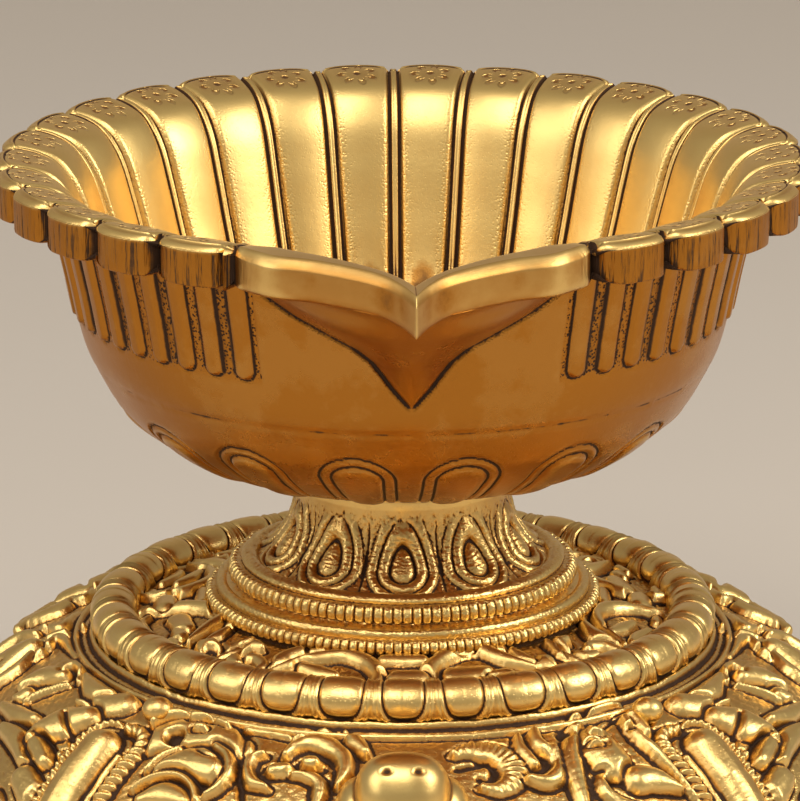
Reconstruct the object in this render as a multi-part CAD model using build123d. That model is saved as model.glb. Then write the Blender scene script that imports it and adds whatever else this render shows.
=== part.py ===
from build123d import *
import os
from math import acos, cos, degrees, pi, radians, sin, sqrt

os.makedirs("parts", exist_ok=True)

# All sizes are in millimetres. The origin is on the table, on the axis of the lamp.
# +Z is up and the wick beak points to the front, along -Y.

# Base
base_radius = 72.0
base_height = 40.5
shell_thickness = 3.2
foot_radius = base_radius - 7.0
foot_width = 4.5
foot_height = 5.0
belly_height = 12.5
belly_round = 11.0
top_flat_radius = base_radius - 35.0
ridge_radii = (base_radius - 25.0, base_radius - 22.6)
ridge_rise = 0.6
ridge_width = 0.9

# Bead-and-reel moulding on the base
moulding_radius = base_radius - 29.0
moulding_beads = 32
bead_radius = 2.7
moulding_rise = 1.5

# Corner bosses of the base
ball_azimuth = 43.0
ball_radius = 2.5
ball_place = base_radius - 19.4
tongue_azimuth = 47.3
tongue_start = base_radius - 13.5
tongue_stop = base_radius - 3.5
tongue_radius = 4.2
tongue_sink = 1.4

# Cast ornament on the shoulder of the base
relief_height = 2.0
relief_bed = 1.0
relief_top = base_radius - 20.6
relief_foot = base_radius - 2.2
eye_diameter = 2.4
rosette_radius = 4.2
scroll_radius = 4.3
scroll_band = 1.7
slit_length = 6.0
slit_width = 1.0
rope_width = 2.4
rope_offset = 6.2
border_top = base_radius - 16.4

# Animal head at the front
muzzle_length = 11.0
muzzle_width = 13.0
cheek_width = 19.5
cheek_depth = 15.0
head_tilt = 38.0
head_rise = 3.5
nostril_spread = 4.6
nostril_width = 1.3
pin_diameter = 5.0
pin_tip = 4.0
pin_tail = 11.0

# Collar
collar_seat = 10.3
lower_gadroon_radius = 30.5
lower_gadroon_ribs = 144
upper_gadroon_radius = 26.6
upper_gadroon_ribs = 110
gadroon_height = 2.3
gadroon_bulge = 1.4
gadroon_bevel = 0.25
rib_depth = 0.35
collar_bead = 1.0

# Neck
neck_height = 13.6
neck_radius = 15.9
neck_flare = 5.7
petal_count = 10
petal_width = 7.4
petal_height = 10.2
petal_relief = 0.8

# Bowl
bowl_height = 48.2
rim_radius = 60.0
rim_thickness = 6.5
notch_depth = 2.3
lobe_count = 26
beak_half_angle = 26.0
beak_reach = 72.0
beak_dip = 2.2
belly_radius = 51.5
wall = 4.6
floor_thickness = 5.8
groove_width = 1.5
groove_depth = 0.9
tongues_per_lobe = 2
tongue_gap = 1.7
tongue_relief = 0.6
tongue_band = 16.4

# Fixings and fits
stud_diameter = 10.0
stud_reach = 11.0
stud_grip = 3.6
tail_diameter = 12.0
nut_across_flats = 19.0
nut_height = 8.0
washer_diameter = 27.0
washer_thickness = 1.6
running_clearance = 0.05
bore_clearance = 0.15
end_room = 1.2

# Heights of the stacked pieces
seat_z = base_height + collar_seat
bowl_z = seat_z + neck_height
washer_z = base_height - shell_thickness - washer_thickness
nut_z = washer_z - nut_height
lobe_pitch = (360 - 2 * beak_half_angle) / lobe_count

on_floor = (Align.CENTER, Align.CENTER, Align.MIN)
hanging = (Align.CENTER, Align.CENTER, Align.MAX)


def outline(*edges):
    """Closed face from edges drawn in a plane."""
    return make_face(Curve() + list(edges))


def lathe(face, arc=360.0):
    """Turn a face, drawn as radius and height, about the axis of the lamp."""
    return revolve(Plane.XZ * face, Axis.Z, arc)


def to_front(shape, azimuth=0.0):
    """Turn a shape modelled at +X to its azimuth, counted from the front."""
    return Rot(0, 0, azimuth - 90) * shape


def sector(face, width, radius):
    """Thin slice of a turned face, as wide as asked for at that radius."""
    arc = degrees(width / radius)
    return Rot(0, 0, -arc / 2) * lathe(face, arc)


def around(shape, count, first=0.0):
    """Copies of a shape modelled at +X, evenly spaced about the axis."""
    return [to_front(shape, first + step * 360 / count) for step in range(count)]


def four_ways(azimuth):
    """Azimuths at the four corners, as far from the front as from the back."""
    return (azimuth, 180 - azimuth, 180 + azimuth, -azimuth)


def tube(outer, inner, height, z):
    """Plain ring standing on a height."""
    face = Circle(outer) - Circle(inner)
    return Pos(0, 0, z) * extrude(face, height)


# Bowl
def bowl_outside(inset=0.0):
    """Half section of the bowl below its rim, from the axis to the outside wall."""
    foot = neck_radius + 0.4
    rim_under = bowl_height - rim_thickness
    low = (0.60 * belly_radius, 0.087 * bowl_height)
    turn = (0.775 * belly_radius, 0.207 * bowl_height)
    high = (0.865 * belly_radius, 0.336 * bowl_height)
    waist = (0.943 * belly_radius, 0.585 * bowl_height)
    low = (low[0] - 0.3 * inset, low[1] + inset)
    turn = (turn[0] - 0.75 * inset, turn[1] + 0.6 * inset)
    high = (high[0] - 0.95 * inset, high[1] + 0.2 * inset)
    waist = (waist[0] - inset, waist[1])
    top = (belly_radius - inset, rim_under)
    return outline(
        Line((0, 0), (foot, 0)),
        Line((foot, 0), (foot + 0.6, 0.037 * bowl_height + inset)),
        Line((foot + 0.6, 0.037 * bowl_height + inset), low),
        ThreePointArc(low, turn, high),
        ThreePointArc(high, waist, top),
        Line(top, (top[0], bowl_height)),
        Line((top[0], bowl_height), (0, bowl_height)),
        Line((0, bowl_height), (0, 0)),
    )


def bowl_inside(deeper=0.0):
    """Half section of the hollow, flared out over the top of the rim."""
    edge = rim_radius + 3
    clear = bowl_height + 3
    flare = rim_radius - notch_depth - (belly_radius - wall - 0.5)
    slant = 1 - sin(radians(45))
    lip = (rim_radius - notch_depth, bowl_height - deeper)
    throat = (lip[0] - flare + deeper, bowl_height - flare)
    bend = (lip[0] - (1 - slant) * (flare - deeper), bowl_height - slant * flare - 0.7 * deeper)
    wall_mid = (0.943 * belly_radius - wall + deeper, 0.585 * bowl_height)
    wall_low = (0.865 * belly_radius - 0.95 * (wall - deeper), 0.375 * bowl_height - 0.25 * deeper)
    turn = (0.775 * belly_radius - 0.85 * (wall - deeper), 0.26 * bowl_height - 0.6 * deeper)
    low = (0.50 * belly_radius, floor_thickness + 0.035 * bowl_height - deeper)
    middle = (0, floor_thickness - deeper)
    return outline(
        Line(middle, low),
        ThreePointArc(low, turn, wall_low),
        ThreePointArc(wall_low, wall_mid, throat),
        ThreePointArc(throat, bend, lip),
        Line(lip, (edge, lip[1])),
        Line((edge, lip[1]), (edge, clear)),
        Line((edge, clear), (0, clear)),
        Line((0, clear), middle),
    )


def on_rim(radius, azimuth):
    """Point of the plan, its azimuth counted from the front."""
    return (radius * sin(radians(azimuth)), -radius * cos(radians(azimuth)))


def beak_face(half_width, root, reach):
    """Ogee plan of the beak: a straight root, two shoulders and a point."""
    span = reach - root
    tip = (0, -reach)
    edges = [Line((-half_width, -root), (half_width, -root))]
    for side in (1, -1):
        corner = (side * half_width, -root)
        shoulder = (side * 0.81 * half_width, -root - 0.27 * span)
        waist = (side * 0.53 * half_width, -root - 0.415 * span)
        cheek = (side * 0.22 * half_width, -root - 0.63 * span)
        edges.append(ThreePointArc(corner, shoulder, waist))
        edges.append(ThreePointArc(waist, cheek, tip))
    return outline(*edges)


def scalloped_rim():
    """Flat plate with one round lobe after another, closed across the front."""
    notch = rim_radius - notch_depth
    edges = []
    for lobe in range(lobe_count):
        start = beak_half_angle + lobe * lobe_pitch
        edges.append(
            ThreePointArc(
                on_rim(notch, start),
                on_rim(rim_radius, start + lobe_pitch / 2),
                on_rim(notch, start + lobe_pitch),
            )
        )
    edges.append(Line(on_rim(notch, -beak_half_angle), on_rim(notch, beak_half_angle)))
    plate = extrude(outline(*edges), rim_thickness)
    return Pos(0, 0, bowl_height - rim_thickness) * plate


def beak_plane(depth):
    """Plane of the beak, which dips to its point, so far under its upper side."""
    root = (rim_radius - notch_depth) * cos(radians(beak_half_angle))
    slope = beak_dip / (beak_reach - root)
    height = bowl_height - depth + root * slope
    return Plane(origin=(0, 0, height), x_dir=(1, 0, 0), z_dir=(0, -slope, 1))


def keel_face(half_width, root, reach):
    """Plan of the keel under the beak: a straight root and two slightly hollow flanks."""
    tip = (0, -reach)
    edges = [Line((-half_width, -root), (half_width, -root))]
    for side in (1, -1):
        corner = (side * half_width, -root)
        flank = (side * 0.45 * half_width, -0.5 * (root + reach))
        edges.append(ThreePointArc(corner, flank, tip))
    return outline(*edges)


def beak_outside():
    """Lip plate of the beak and the keel that runs from it down to the wall."""
    notch = rim_radius - notch_depth
    root = notch * cos(radians(beak_half_angle))
    half_width = notch * sin(radians(beak_half_angle))
    inside_wall = belly_radius - wall
    lip = beak_plane(rim_thickness) * beak_face(half_width, root - 3, beak_reach)
    top = keel_face(half_width, inside_wall, beak_reach - 2.5)
    mid = keel_face(0.5 * half_width, inside_wall, 1.10 * belly_radius)
    low = keel_face(0.06 * half_width, 0.88 * belly_radius, 0.915 * belly_radius)
    mid_place = Pos(0, 0, 0.68 * bowl_height)
    low_place = Pos(0, 0, 0.45 * bowl_height)
    keel = loft([beak_plane(0.6 * rim_thickness) * top, mid_place * mid, low_place * low])
    return extrude(lip, rim_thickness) + keel


def beak_inside():
    """Channel of the beak, in which the wick lies."""
    above = -2.0
    tip = beak_reach - 1.7 * wall
    wide = 0.40 * rim_radius
    top = keel_face(wide, 0.855 * belly_radius, tip)
    low = keel_face(0.25 * wide, 0.8 * belly_radius, belly_radius - 1.35 * wall)
    return loft([beak_plane(above) * top, Pos(0, 0, 0.62 * bowl_height) * low])


def lobe_grooves():
    """Grooves between the lobes, from the notches of the rim down to the floor."""
    middle = Pos(0, bowl_height / 2) * Rectangle(0.9 * belly_radius, 3 * bowl_height)
    groove = sector(bowl_inside(groove_depth) - middle, groove_width, rim_radius)
    first = beak_half_angle
    return [to_front(groove, first + step * lobe_pitch) for step in range(lobe_count + 1)]


def tongue_gaps():
    """Gaps between the upright tongues on the outside of the wall."""
    top = bowl_height - rim_thickness
    band = Pos(belly_radius, top - tongue_band / 2) * Rectangle(0.3 * belly_radius, tongue_band)
    gap = sector(band - bowl_outside(tongue_relief), tongue_gap, belly_radius)
    pitch = lobe_pitch / tongues_per_lobe
    count = lobe_count * tongues_per_lobe + 1
    return [to_front(gap, beak_half_angle + step * pitch) for step in range(count)]


def bowl():
    """Cast bowl: scalloped rim, fluted inside, tongued outside and wick beak."""
    body = lathe(bowl_outside()) - tongue_gaps()
    body = body + scalloped_rim() + beak_outside()
    body = body - lathe(bowl_inside()) - beak_inside()
    body = body - lobe_grooves()
    socket = Cylinder(stud_diameter / 2, stud_grip, align=on_floor)
    return Pos(0, 0, bowl_z) * (body - socket)


def bowl_stud():
    """Stud set in the foot of the bowl, which goes down into the neck."""
    length = stud_grip + stud_reach
    stud = Pos(0, 0, bowl_z - stud_reach) * Cylinder(
        stud_diameter / 2, length, align=on_floor
    )
    return chamfer(stud.edges().group_by(Axis.Z)[0], 0.8)


# Neck
def neck_section(relief=0.0):
    """Half section of the neck, flared at its foot; relief grows it outwards."""
    top = neck_radius + relief
    foot = neck_radius + neck_flare
    bend = (top + 0.17 * neck_flare, 0.36 * neck_height)
    shoulder = (foot, 0.09 * neck_height + relief)
    return outline(
        Line((0, 0), (foot, 0)),
        Line((foot, 0), shoulder),
        ThreePointArc(shoulder, bend, (top, 0.72 * neck_height)),
        Line((top, 0.72 * neck_height), (top, neck_height)),
        Line((top, neck_height), (0, neck_height)),
        Line((0, neck_height), (0, 0)),
    )


def petal_prism():
    """Upright teardrop, thrown outwards from the axis."""
    half = petal_width / 2
    middle = 0.1 * neck_height + half
    tip = (0, 0.1 * neck_height + petal_height)
    face = outline(
        ThreePointArc((-half, middle), (0, middle - half), (half, middle)),
        ThreePointArc((half, middle), (0.62 * half, 0.55 * (middle + tip[1])), tip),
        ThreePointArc(tip, (-0.62 * half, 0.55 * (middle + tip[1])), (-half, middle)),
    )
    plane = Plane(origin=(0, 0, 0), x_dir=(0, 1, 0), z_dir=(1, 0, 0))
    return extrude(plane * face, 2 * neck_radius)


def lotus_neck():
    """Waisted neck with raised petals, a bore for the stud and a threaded tail."""
    raised = lathe(neck_section(petal_relief)) - Cylinder(0.7 * neck_radius, 3 * neck_height)
    petal = raised & petal_prism()
    neck = lathe(neck_section()) + around(petal, petal_count)
    bore_depth = stud_reach + end_room
    bore = Pos(0, 0, neck_height - bore_depth) * Cylinder(
        stud_diameter / 2 + running_clearance, bore_depth, align=on_floor
    )
    tail_length = seat_z - nut_z + end_room
    tail = Cylinder(tail_diameter / 2, tail_length, align=hanging)
    return Pos(0, 0, seat_z) * (neck - bore + tail)


# Collar
def gadroon_ring(radius, ribs, z):
    """Ring of upright ribs, bevelled at its upper and lower edges."""
    pitch = 360 / ribs
    points = []
    for step in range(ribs):
        points.append(on_rim(radius - rib_depth, step * pitch))
        points.append(on_rim(radius, (step + 0.5) * pitch))
    inner = radius - 2 * gadroon_bulge
    ribbed = extrude(Polygon(*points, align=None) - Circle(inner), gadroon_height)
    waist = radius - rib_depth - gadroon_bevel
    full = radius + rib_depth
    bevel = full - waist
    top = gadroon_height
    low = ((inner, 0), (waist, 0), (full, bevel))
    high = ((full, top - bevel), (waist, top), (inner, top))
    bevelled = outline(Polyline(*low, *high, (inner, 0)))
    return Pos(0, 0, z) * (ribbed & lathe(bevelled))


def collar():
    """Stepped collar: two gadrooned rings and a smooth bead round the neck's foot."""
    upper_z = collar_seat - 0.4 - gadroon_height
    fillet_z = upper_z - 0.7
    lower_z = fillet_z - gadroon_height
    skirt = lower_gadroon_radius - gadroon_bulge
    fillet = (skirt + upper_gadroon_radius) / 2
    step = upper_gadroon_radius - gadroon_bulge
    bead_place = neck_radius + neck_flare + 0.3 + collar_bead
    bore = tail_diameter / 2 + bore_clearance
    body = tube(skirt, bore, lower_z + gadroon_height, 0)
    body = body + tube(fillet, bore, 0.7, fillet_z)
    body = body + tube(step, bore, gadroon_height, upper_z)
    body = body + tube(bead_place, bore, collar_seat - upper_z, upper_z)
    body = body + Pos(0, 0, collar_seat + 0.5) * Torus(bead_place, collar_bead)
    body = body + gadroon_ring(lower_gadroon_radius, lower_gadroon_ribs, lower_z)
    body = body + gadroon_ring(upper_gadroon_radius, upper_gadroon_ribs, upper_z)
    return Pos(0, 0, base_height) * body


# Base
def shoulder_arc(inset, start=0.0, end=90.0):
    """Quarter ellipse from the belly of the base up to its flat top, or a stretch of it."""
    return EllipticalCenterArc(
        (top_flat_radius, belly_height),
        base_radius - top_flat_radius - inset,
        base_height - belly_height - inset,
        start_angle=start,
        arc_size=end - start,
    )


def dome_height(radius):
    """Height of the outside of the base at a radius on its shoulder."""
    share = (radius - top_flat_radius) / (base_radius - top_flat_radius)
    return belly_height + (base_height - belly_height) * sqrt(1 - share * share)


def base_outside():
    """Half section of the whole base, from the axis to its outside."""
    swell = base_radius - belly_round
    step = (swell + sqrt(belly_round**2 - (belly_height - foot_height) ** 2), foot_height)
    under = (swell + 0.93 * belly_round, belly_height - 0.37 * belly_round)
    return outline(
        Line((0, 0), (foot_radius, 0)),
        Line((foot_radius, 0), (foot_radius, foot_height)),
        Line((foot_radius, foot_height), step),
        ThreePointArc(step, under, (base_radius, belly_height)),
        shoulder_arc(0),
        Line((top_flat_radius, base_height), (0, base_height)),
        Line((0, base_height), (0, 0)),
    )


def base_hollow():
    """Half section of the hollow under the base, open at the bottom."""
    inner_foot = foot_radius - foot_width
    belly = (base_radius - shell_thickness, belly_height)
    roof = base_height - shell_thickness
    return outline(
        Line((0, -1), (inner_foot, -1)),
        Line((inner_foot, -1), (inner_foot, foot_height)),
        Line((inner_foot, foot_height), belly),
        shoulder_arc(shell_thickness),
        Line((top_flat_radius, roof), (0, roof)),
        Line((0, roof), (0, -1)),
    )


def seat_height():
    """Height of the flat fillet that carries the moulding."""
    return dome_height(moulding_radius - bead_radius)


def moulding_seat():
    """Flat fillet under the moulding."""
    inner = moulding_radius - bead_radius
    outer = moulding_radius + bead_radius
    return tube(outer, inner, shell_thickness, seat_height() - shell_thickness)


def ridge(radius):
    """Fine ridge that runs round the shoulder of the base."""
    crest = dome_height(radius) + ridge_rise
    foot = dome_height(radius + ridge_width) - ridge_rise
    face = outline(
        Polyline(
            (radius - ridge_width, foot),
            (radius + ridge_width, foot),
            (radius + 0.4 * ridge_width, crest),
            (radius - 0.4 * ridge_width, crest),
            (radius - ridge_width, foot),
        )
    )
    return lathe(face)


# Ornament of the base, raised from its shoulder
def relief_skin(top):
    """Half section of the skin that the raised forms are cut from, up to a radius."""
    start = shoulder_angle(relief_foot)
    end = shoulder_angle(top)
    outer = shoulder_arc(-relief_height, start, end)
    inner = shoulder_arc(relief_bed, start, end)
    return outline(outer, inner, Line(outer @ 0, inner @ 0), Line(outer @ 1, inner @ 1))


def shoulder_plane(radius):
    """Plane on the shoulder at +X: X runs to the right, Y up the shoulder and Z outwards."""
    angle = radians(shoulder_angle(radius))
    run = cos(angle) / (base_radius - top_flat_radius)
    rise = sin(angle) / (base_height - belly_height)
    return Plane(origin=(radius, 0, dome_height(radius)), x_dir=(0, 1, 0), z_dir=(run, 0, rise))


def drop(length, width):
    """Teardrop about the middle of its round end, with its tip at +Y."""
    half = width / 2
    tip = (0, length - half)
    bow = 0.72 * half
    return outline(
        ThreePointArc((-half, 0), (0, -half), (half, 0)),
        ThreePointArc((half, 0), (bow, 0.45 * tip[1]), tip),
        ThreePointArc(tip, (-bow, 0.45 * tip[1]), (-half, 0)),
    )


def crescent(length, width, bow):
    """Leaf that bends to the right, between two arcs that meet at its tips."""
    high = (0, length / 2)
    low = (0, -length / 2)
    return outline(ThreePointArc(low, (bow + width, 0), high), ThreePointArc(high, (bow, 0), low))


def rosette():
    """Ring round a boss."""
    ring = Circle(rosette_radius) - Circle(0.72 * rosette_radius)
    return ring + Circle(0.42 * rosette_radius)


def scroll():
    """Open ring that curls in to a round eye."""
    inner = scroll_radius - scroll_band
    ring = Circle(scroll_radius) - Circle(inner)
    mouth = Pos(-scroll_radius, -0.5 * scroll_radius) * Rectangle(2 * scroll_radius, scroll_radius)
    return ring - mouth + Pos(-0.35 * inner, 0.45 * inner) * Circle(0.75 * inner)


def eyed_leaf(length, width):
    """Broad leaf with a round eye in its head."""
    return drop(length, width) - Circle(eye_diameter / 2)


def slit_leaf(length, width):
    """Broad leaf with a slit down its middle."""
    return drop(length, width) - Pos(0, slit_length / 3) * SlotOverall(slit_length, slit_width, 90)


def raised(face, azimuth, radius, turn=0.0):
    """Form raised from the shoulder, at an azimuth and a radius, turned to the left."""
    prism = extrude(shoulder_plane(radius) * (Rot(0, 0, turn) * face), 3 * relief_height, both=True)
    skin = sector(relief_skin(relief_top), base_radius, base_radius)
    return to_front(prism & skin, azimuth)


def beaded_borders():
    """Raised borders on both sides of the tongues, towards the front and the back."""
    middle = (tongue_start + tongue_stop) / 2
    offset = degrees(rope_offset / middle)
    border = sector(relief_skin(border_top), rope_width, middle)
    return [to_front(border, azimuth) for azimuth in four_ways(tongue_azimuth - offset)]


def head_side_forms():
    """Forms on the faces at the front and the back, from the left to the right."""
    return [
        raised(eyed_leaf(15.5, 9.5), -34.0, base_radius - 17.0, -125),
        raised(crescent(9.0, 2.8, 1.6), -25.5, base_radius - 13.5),
        raised(rosette(), -15.5, base_radius - 15.7),
        raised(scroll(), 14.5, base_radius - 15.0),
        raised(crescent(12.0, 3.4, 1.8), 21.0, base_radius - 16.0, -12),
        raised(drop(15.0, 8.6), 30.8, base_radius - 14.0, -52),
        raised(drop(8.0, 5.4), 31.5, base_radius - 8.4, -60),
        raised(crescent(10.0, 3.0, 1.8), -31.5, base_radius - 8.2, 90),
    ]


def flank_forms():
    """Forms on the faces at the left and the right."""
    flanks = []
    for side in (1, -1):
        flanks.append(raised(slit_leaf(14.0, 8.4), side * 31.5, base_radius - 14.0))
        flanks.append(raised(drop(7.5, 6.0), side * 33.0, base_radius - 6.5))
        flanks.append(raised(crescent(11.0, 3.2, 1.8), side * 22.5, base_radius - 14.5, 90 - side * 90))
    flanks.append(raised(rosette(), -14.0, base_radius - 15.7))
    flanks.append(raised(scroll(), 14.0, base_radius - 15.0))
    return flanks


def ornament():
    """All the forms that are raised from the shoulder of the base."""
    palmette = raised(drop(17.0, 11.0), 0, base_radius - 11.0)
    forms = beaded_borders()
    for step, side in enumerate((head_side_forms(), flank_forms()) * 2):
        if step:
            side = side + [palmette]
        forms = forms + [Rot(0, 0, 90 * step) * form for form in side]
    return forms


def base_shell():
    """Hollow domed base with its foot ring, two fine ridges and its cast ornament."""
    shell = lathe(base_outside()) + moulding_seat()
    for radius in ridge_radii:
        shell = shell + ridge(radius)
    shell = shell + ornament()
    tail_hole = Cylinder(tail_diameter / 2 + bore_clearance, 4 * base_height)
    pin_hole = head_axis() * Cylinder(pin_diameter / 2 + bore_clearance, 2 * pin_tail)
    return shell - lathe(base_hollow()) - tail_hole - pin_hole


def bead_reel_ring():
    """Moulding of barrel beads on a core, parted by pairs of thin reels."""
    pitch = 2 * pi * moulding_radius / moulding_beads
    end = 0.33 * pitch
    flat = 0.15 * pitch
    neck = 0.70 * bead_radius
    lower = ((0, -end), (neck, -end), (bead_radius, -flat))
    upper = ((bead_radius, flat), (neck, end), (0, end))
    barrel = outline(Polyline(*lower, *upper, (0, -end)))
    bead = revolve(barrel, Axis.Y)
    reel = Rot(90, 0, 0) * Cylinder(0.86 * bead_radius, 0.07 * pitch)
    core = 0.56 * bead_radius
    middle = seat_height() + moulding_rise
    ring = tube(moulding_radius + core, moulding_radius - core, core + moulding_rise, seat_height())
    place = Pos(moulding_radius, 0, middle)
    above = Pos(moulding_radius, 0, seat_height()) * Box(4 * pitch, 4 * pitch, 4 * pitch, align=on_floor)
    ring = ring + around(place * bead & above, moulding_beads)
    step = 360 / moulding_beads
    for share in (0.42, 0.58):
        ring = ring + around(place * reel & above, moulding_beads, share * step)
    return ring


def corner_balls():
    """Round bosses at the corners of the moulding."""
    ball = Pos(ball_place, 0, dome_height(ball_place) + 0.3 * ball_radius) * Sphere(ball_radius)
    ball = ball - lathe(base_outside())
    return Part() + [to_front(ball, azimuth) for azimuth in four_ways(ball_azimuth)]


def shoulder_angle(radius):
    """Angle on the shoulder's ellipse that belongs to a radius."""
    return degrees(acos((radius - top_flat_radius) / (base_radius - top_flat_radius)))


def corner_tongues():
    """Smooth round tongues that lie along the shoulder of the base."""
    path = Plane.XZ * shoulder_arc(tongue_sink, shoulder_angle(tongue_stop), shoulder_angle(tongue_start))
    section = Plane(origin=path @ 0, z_dir=path % 0) * Circle(tongue_radius)
    tongue = sweep(section, path)
    for end in (path @ 0, path @ 1):
        tongue = tongue + Pos(end) * Sphere(tongue_radius)
    tongue = tongue - lathe(base_outside())
    return Part() + [to_front(tongue, azimuth) for azimuth in four_ways(tongue_azimuth)]


# Animal head
def head_axis():
    """Plane through the middle of the head: its Z looks out and up, to the front."""
    lift = radians(head_tilt)
    reach = base_radius - muzzle_length * cos(lift) - 0.22 * muzzle_width * sin(lift)
    height = dome_height(reach) + head_rise
    return Plane(origin=(0, -reach, height), x_dir=(1, 0, 0), z_dir=(0, -cos(lift), sin(lift)))


def muzzle():
    """Smooth rounded snout on a thick neck, turned about the axis of the head."""
    half = muzzle_width / 2
    root = -1.2 * cheek_depth
    nose = (0, muzzle_length)
    bridge = (0.74 * half, 0.78 * muzzle_length)
    lips = (half, 0.35 * muzzle_length)
    neck = (1.2 * half, root)
    face = outline(
        Spline(nose, bridge, lips, neck, tangents=((1, 0), (0, -1))),
        Line(neck, (0, root)),
        Line((0, root), nose),
    )
    return revolve(Plane.XZ * face, Axis.Z)


def cheeks():
    """Wider back of the head, turned about a line from ear to ear."""
    wide = cheek_width / 2
    deep = cheek_depth / 2
    face = outline(
        Spline((-wide, 0), (-0.7 * wide, 0.72 * deep), (0, deep), tangents=((0, 1), (1, 0))),
        Spline((0, deep), (0.7 * wide, 0.72 * deep), (wide, 0), tangents=((1, 0), (0, -1))),
        Line((wide, 0), (-wide, 0)),
    )
    return Pos(0, 0, -0.12 * cheek_depth) * revolve(face, Axis.X)


def animal_head():
    """Smooth animal head with its nostrils, seated on the shoulder of the base."""
    head = muzzle() + cheeks()
    for side in (1, -1):
        nostril = Pos(side * nostril_spread / 2, 0.40 * muzzle_width / 2, muzzle_length)
        head = head - nostril * Cylinder(nostril_width / 2, 0.55 * muzzle_length)
    pin_hole = Pos(0, 0, -pin_tail) * Cylinder(
        pin_diameter / 2, pin_tail + pin_tip + running_clearance, align=on_floor
    )
    head = head_axis() * (head - pin_hole) - lathe(base_outside())
    return head.solids().sort_by(Axis.Y)[0]


def head_pin():
    """Dowel that goes from inside the shell into the head."""
    pin = Pos(0, 0, -pin_tail) * Cylinder(pin_diameter / 2, pin_tail + pin_tip, align=on_floor)
    return head_axis() * pin


# Fixings under the base
def clamp_washer():
    """Washer between the top of the base and the nut."""
    return tube(washer_diameter / 2, tail_diameter / 2 + bore_clearance, washer_thickness, washer_z)


def clamp_nut():
    """Hexagon nut on the tail of the neck."""
    face = RegularPolygon(nut_across_flats / 2, 6, major_radius=False)
    face = face - Circle(tail_diameter / 2 + running_clearance)
    return Pos(0, 0, nut_z) * extrude(face, nut_height)


export_step(bowl(), "parts/bowl.step")
export_step(bowl_stud(), "parts/bowl_stud.step")
export_step(lotus_neck(), "parts/lotus_neck.step")
export_step(collar(), "parts/collar.step")
export_step(base_shell(), "parts/base_shell.step")
export_step(bead_reel_ring(), "parts/bead_reel_ring.step")
export_step(corner_balls(), "parts/corner_balls.step")
export_step(corner_tongues(), "parts/corner_tongues.step")
export_step(animal_head(), "parts/animal_head.step")
export_step(head_pin(), "parts/head_pin.step")
export_step(clamp_washer(), "parts/clamp_washer.step")
export_step(clamp_nut(), "parts/clamp_nut.step")
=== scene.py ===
"""Looks of a cast brass butter lamp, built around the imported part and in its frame."""

import math

import bpy
import numpy as np
from bpy.props import FloatProperty, FloatVectorProperty, IntProperty, PointerProperty
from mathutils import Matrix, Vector


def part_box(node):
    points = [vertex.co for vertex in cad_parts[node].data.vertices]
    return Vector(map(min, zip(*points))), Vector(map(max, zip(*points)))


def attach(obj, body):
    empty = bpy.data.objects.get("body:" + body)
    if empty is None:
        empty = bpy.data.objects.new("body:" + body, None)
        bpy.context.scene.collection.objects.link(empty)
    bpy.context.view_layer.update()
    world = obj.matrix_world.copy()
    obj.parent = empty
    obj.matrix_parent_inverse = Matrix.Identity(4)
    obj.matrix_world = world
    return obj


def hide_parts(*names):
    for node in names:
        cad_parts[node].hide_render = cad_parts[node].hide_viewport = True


bl_info = {
    "name": "Butter lamp",
    "version": (1, 0, 0),
    "blender": (4, 5, 0),
    "location": "View3D > Sidebar > Lamp",
    "description": "Models and finishes the pieces of a cast brass butter lamp",
    "category": "Object",
}

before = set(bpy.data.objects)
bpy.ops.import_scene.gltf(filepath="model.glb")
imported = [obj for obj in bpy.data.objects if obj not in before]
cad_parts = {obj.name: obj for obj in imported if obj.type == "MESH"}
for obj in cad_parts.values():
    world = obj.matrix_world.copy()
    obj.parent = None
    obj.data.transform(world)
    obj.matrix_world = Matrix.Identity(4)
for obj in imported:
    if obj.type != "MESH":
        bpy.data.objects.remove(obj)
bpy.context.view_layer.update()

MM = 0.001
# Points of a sheet closer than this are joined, in metres
MERGE_GAP = 2e-6


# Sizes and colours
def length(title, text, metres):
    """Property that holds a length."""
    return FloatProperty(name=title, description=text, default=metres, unit="LENGTH", subtype="DISTANCE")


def turn(title, text, degrees):
    """Property that holds an angle."""
    return FloatProperty(name=title, description=text, default=math.radians(degrees), subtype="ANGLE")


def colour(title, text, value):
    """Property that holds a colour."""
    return FloatVectorProperty(
        name=title, description=text, default=value, subtype="COLOR", size=3, min=0, max=1
    )


class LampBowlSizes(bpy.types.PropertyGroup):
    """Sizes of the bowl"""

    lobes: IntProperty(name="Lobes", description="Lobes of the rim outside the beak", default=26)
    beak_angle: turn("Beak angle", "Half of the angle that the beak takes from the rim", 26)
    bowl_turn: turn("Bowl turn", "Turn of the bowl on its neck, to the right", 1.5)
    pad_rise: length("Pad rise", "Swell of each lobe above its grooves", 0.00075)
    groove_depth: length("Groove depth", "Depth of the grooves between the lobes", 0.0009)
    bar_rise: length("Bar rise", "Swell of the finger bars outside", 0.0006)


class LampBaseSizes(bpy.types.PropertyGroup):
    """Sizes of the neck and the base"""

    petals: IntProperty(name="Petals", description="Lotus petals round the neck", default=10)
    beads: IntProperty(name="Beads", description="Barrel beads of the moulding", default=32)
    dome_columns: IntProperty(name="Dome columns", description="Columns of one face of the dome", default=321)
    dome_rows: IntProperty(name="Dome rows", description="Rows of one face of the dome", default=221)
    tongue_turn: turn("Tongue turn", "Angle of the corner tongues from the front", 47.3)
    ball_turn: turn("Ball turn", "Angle of the corner balls from the front", 43.0)


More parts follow.
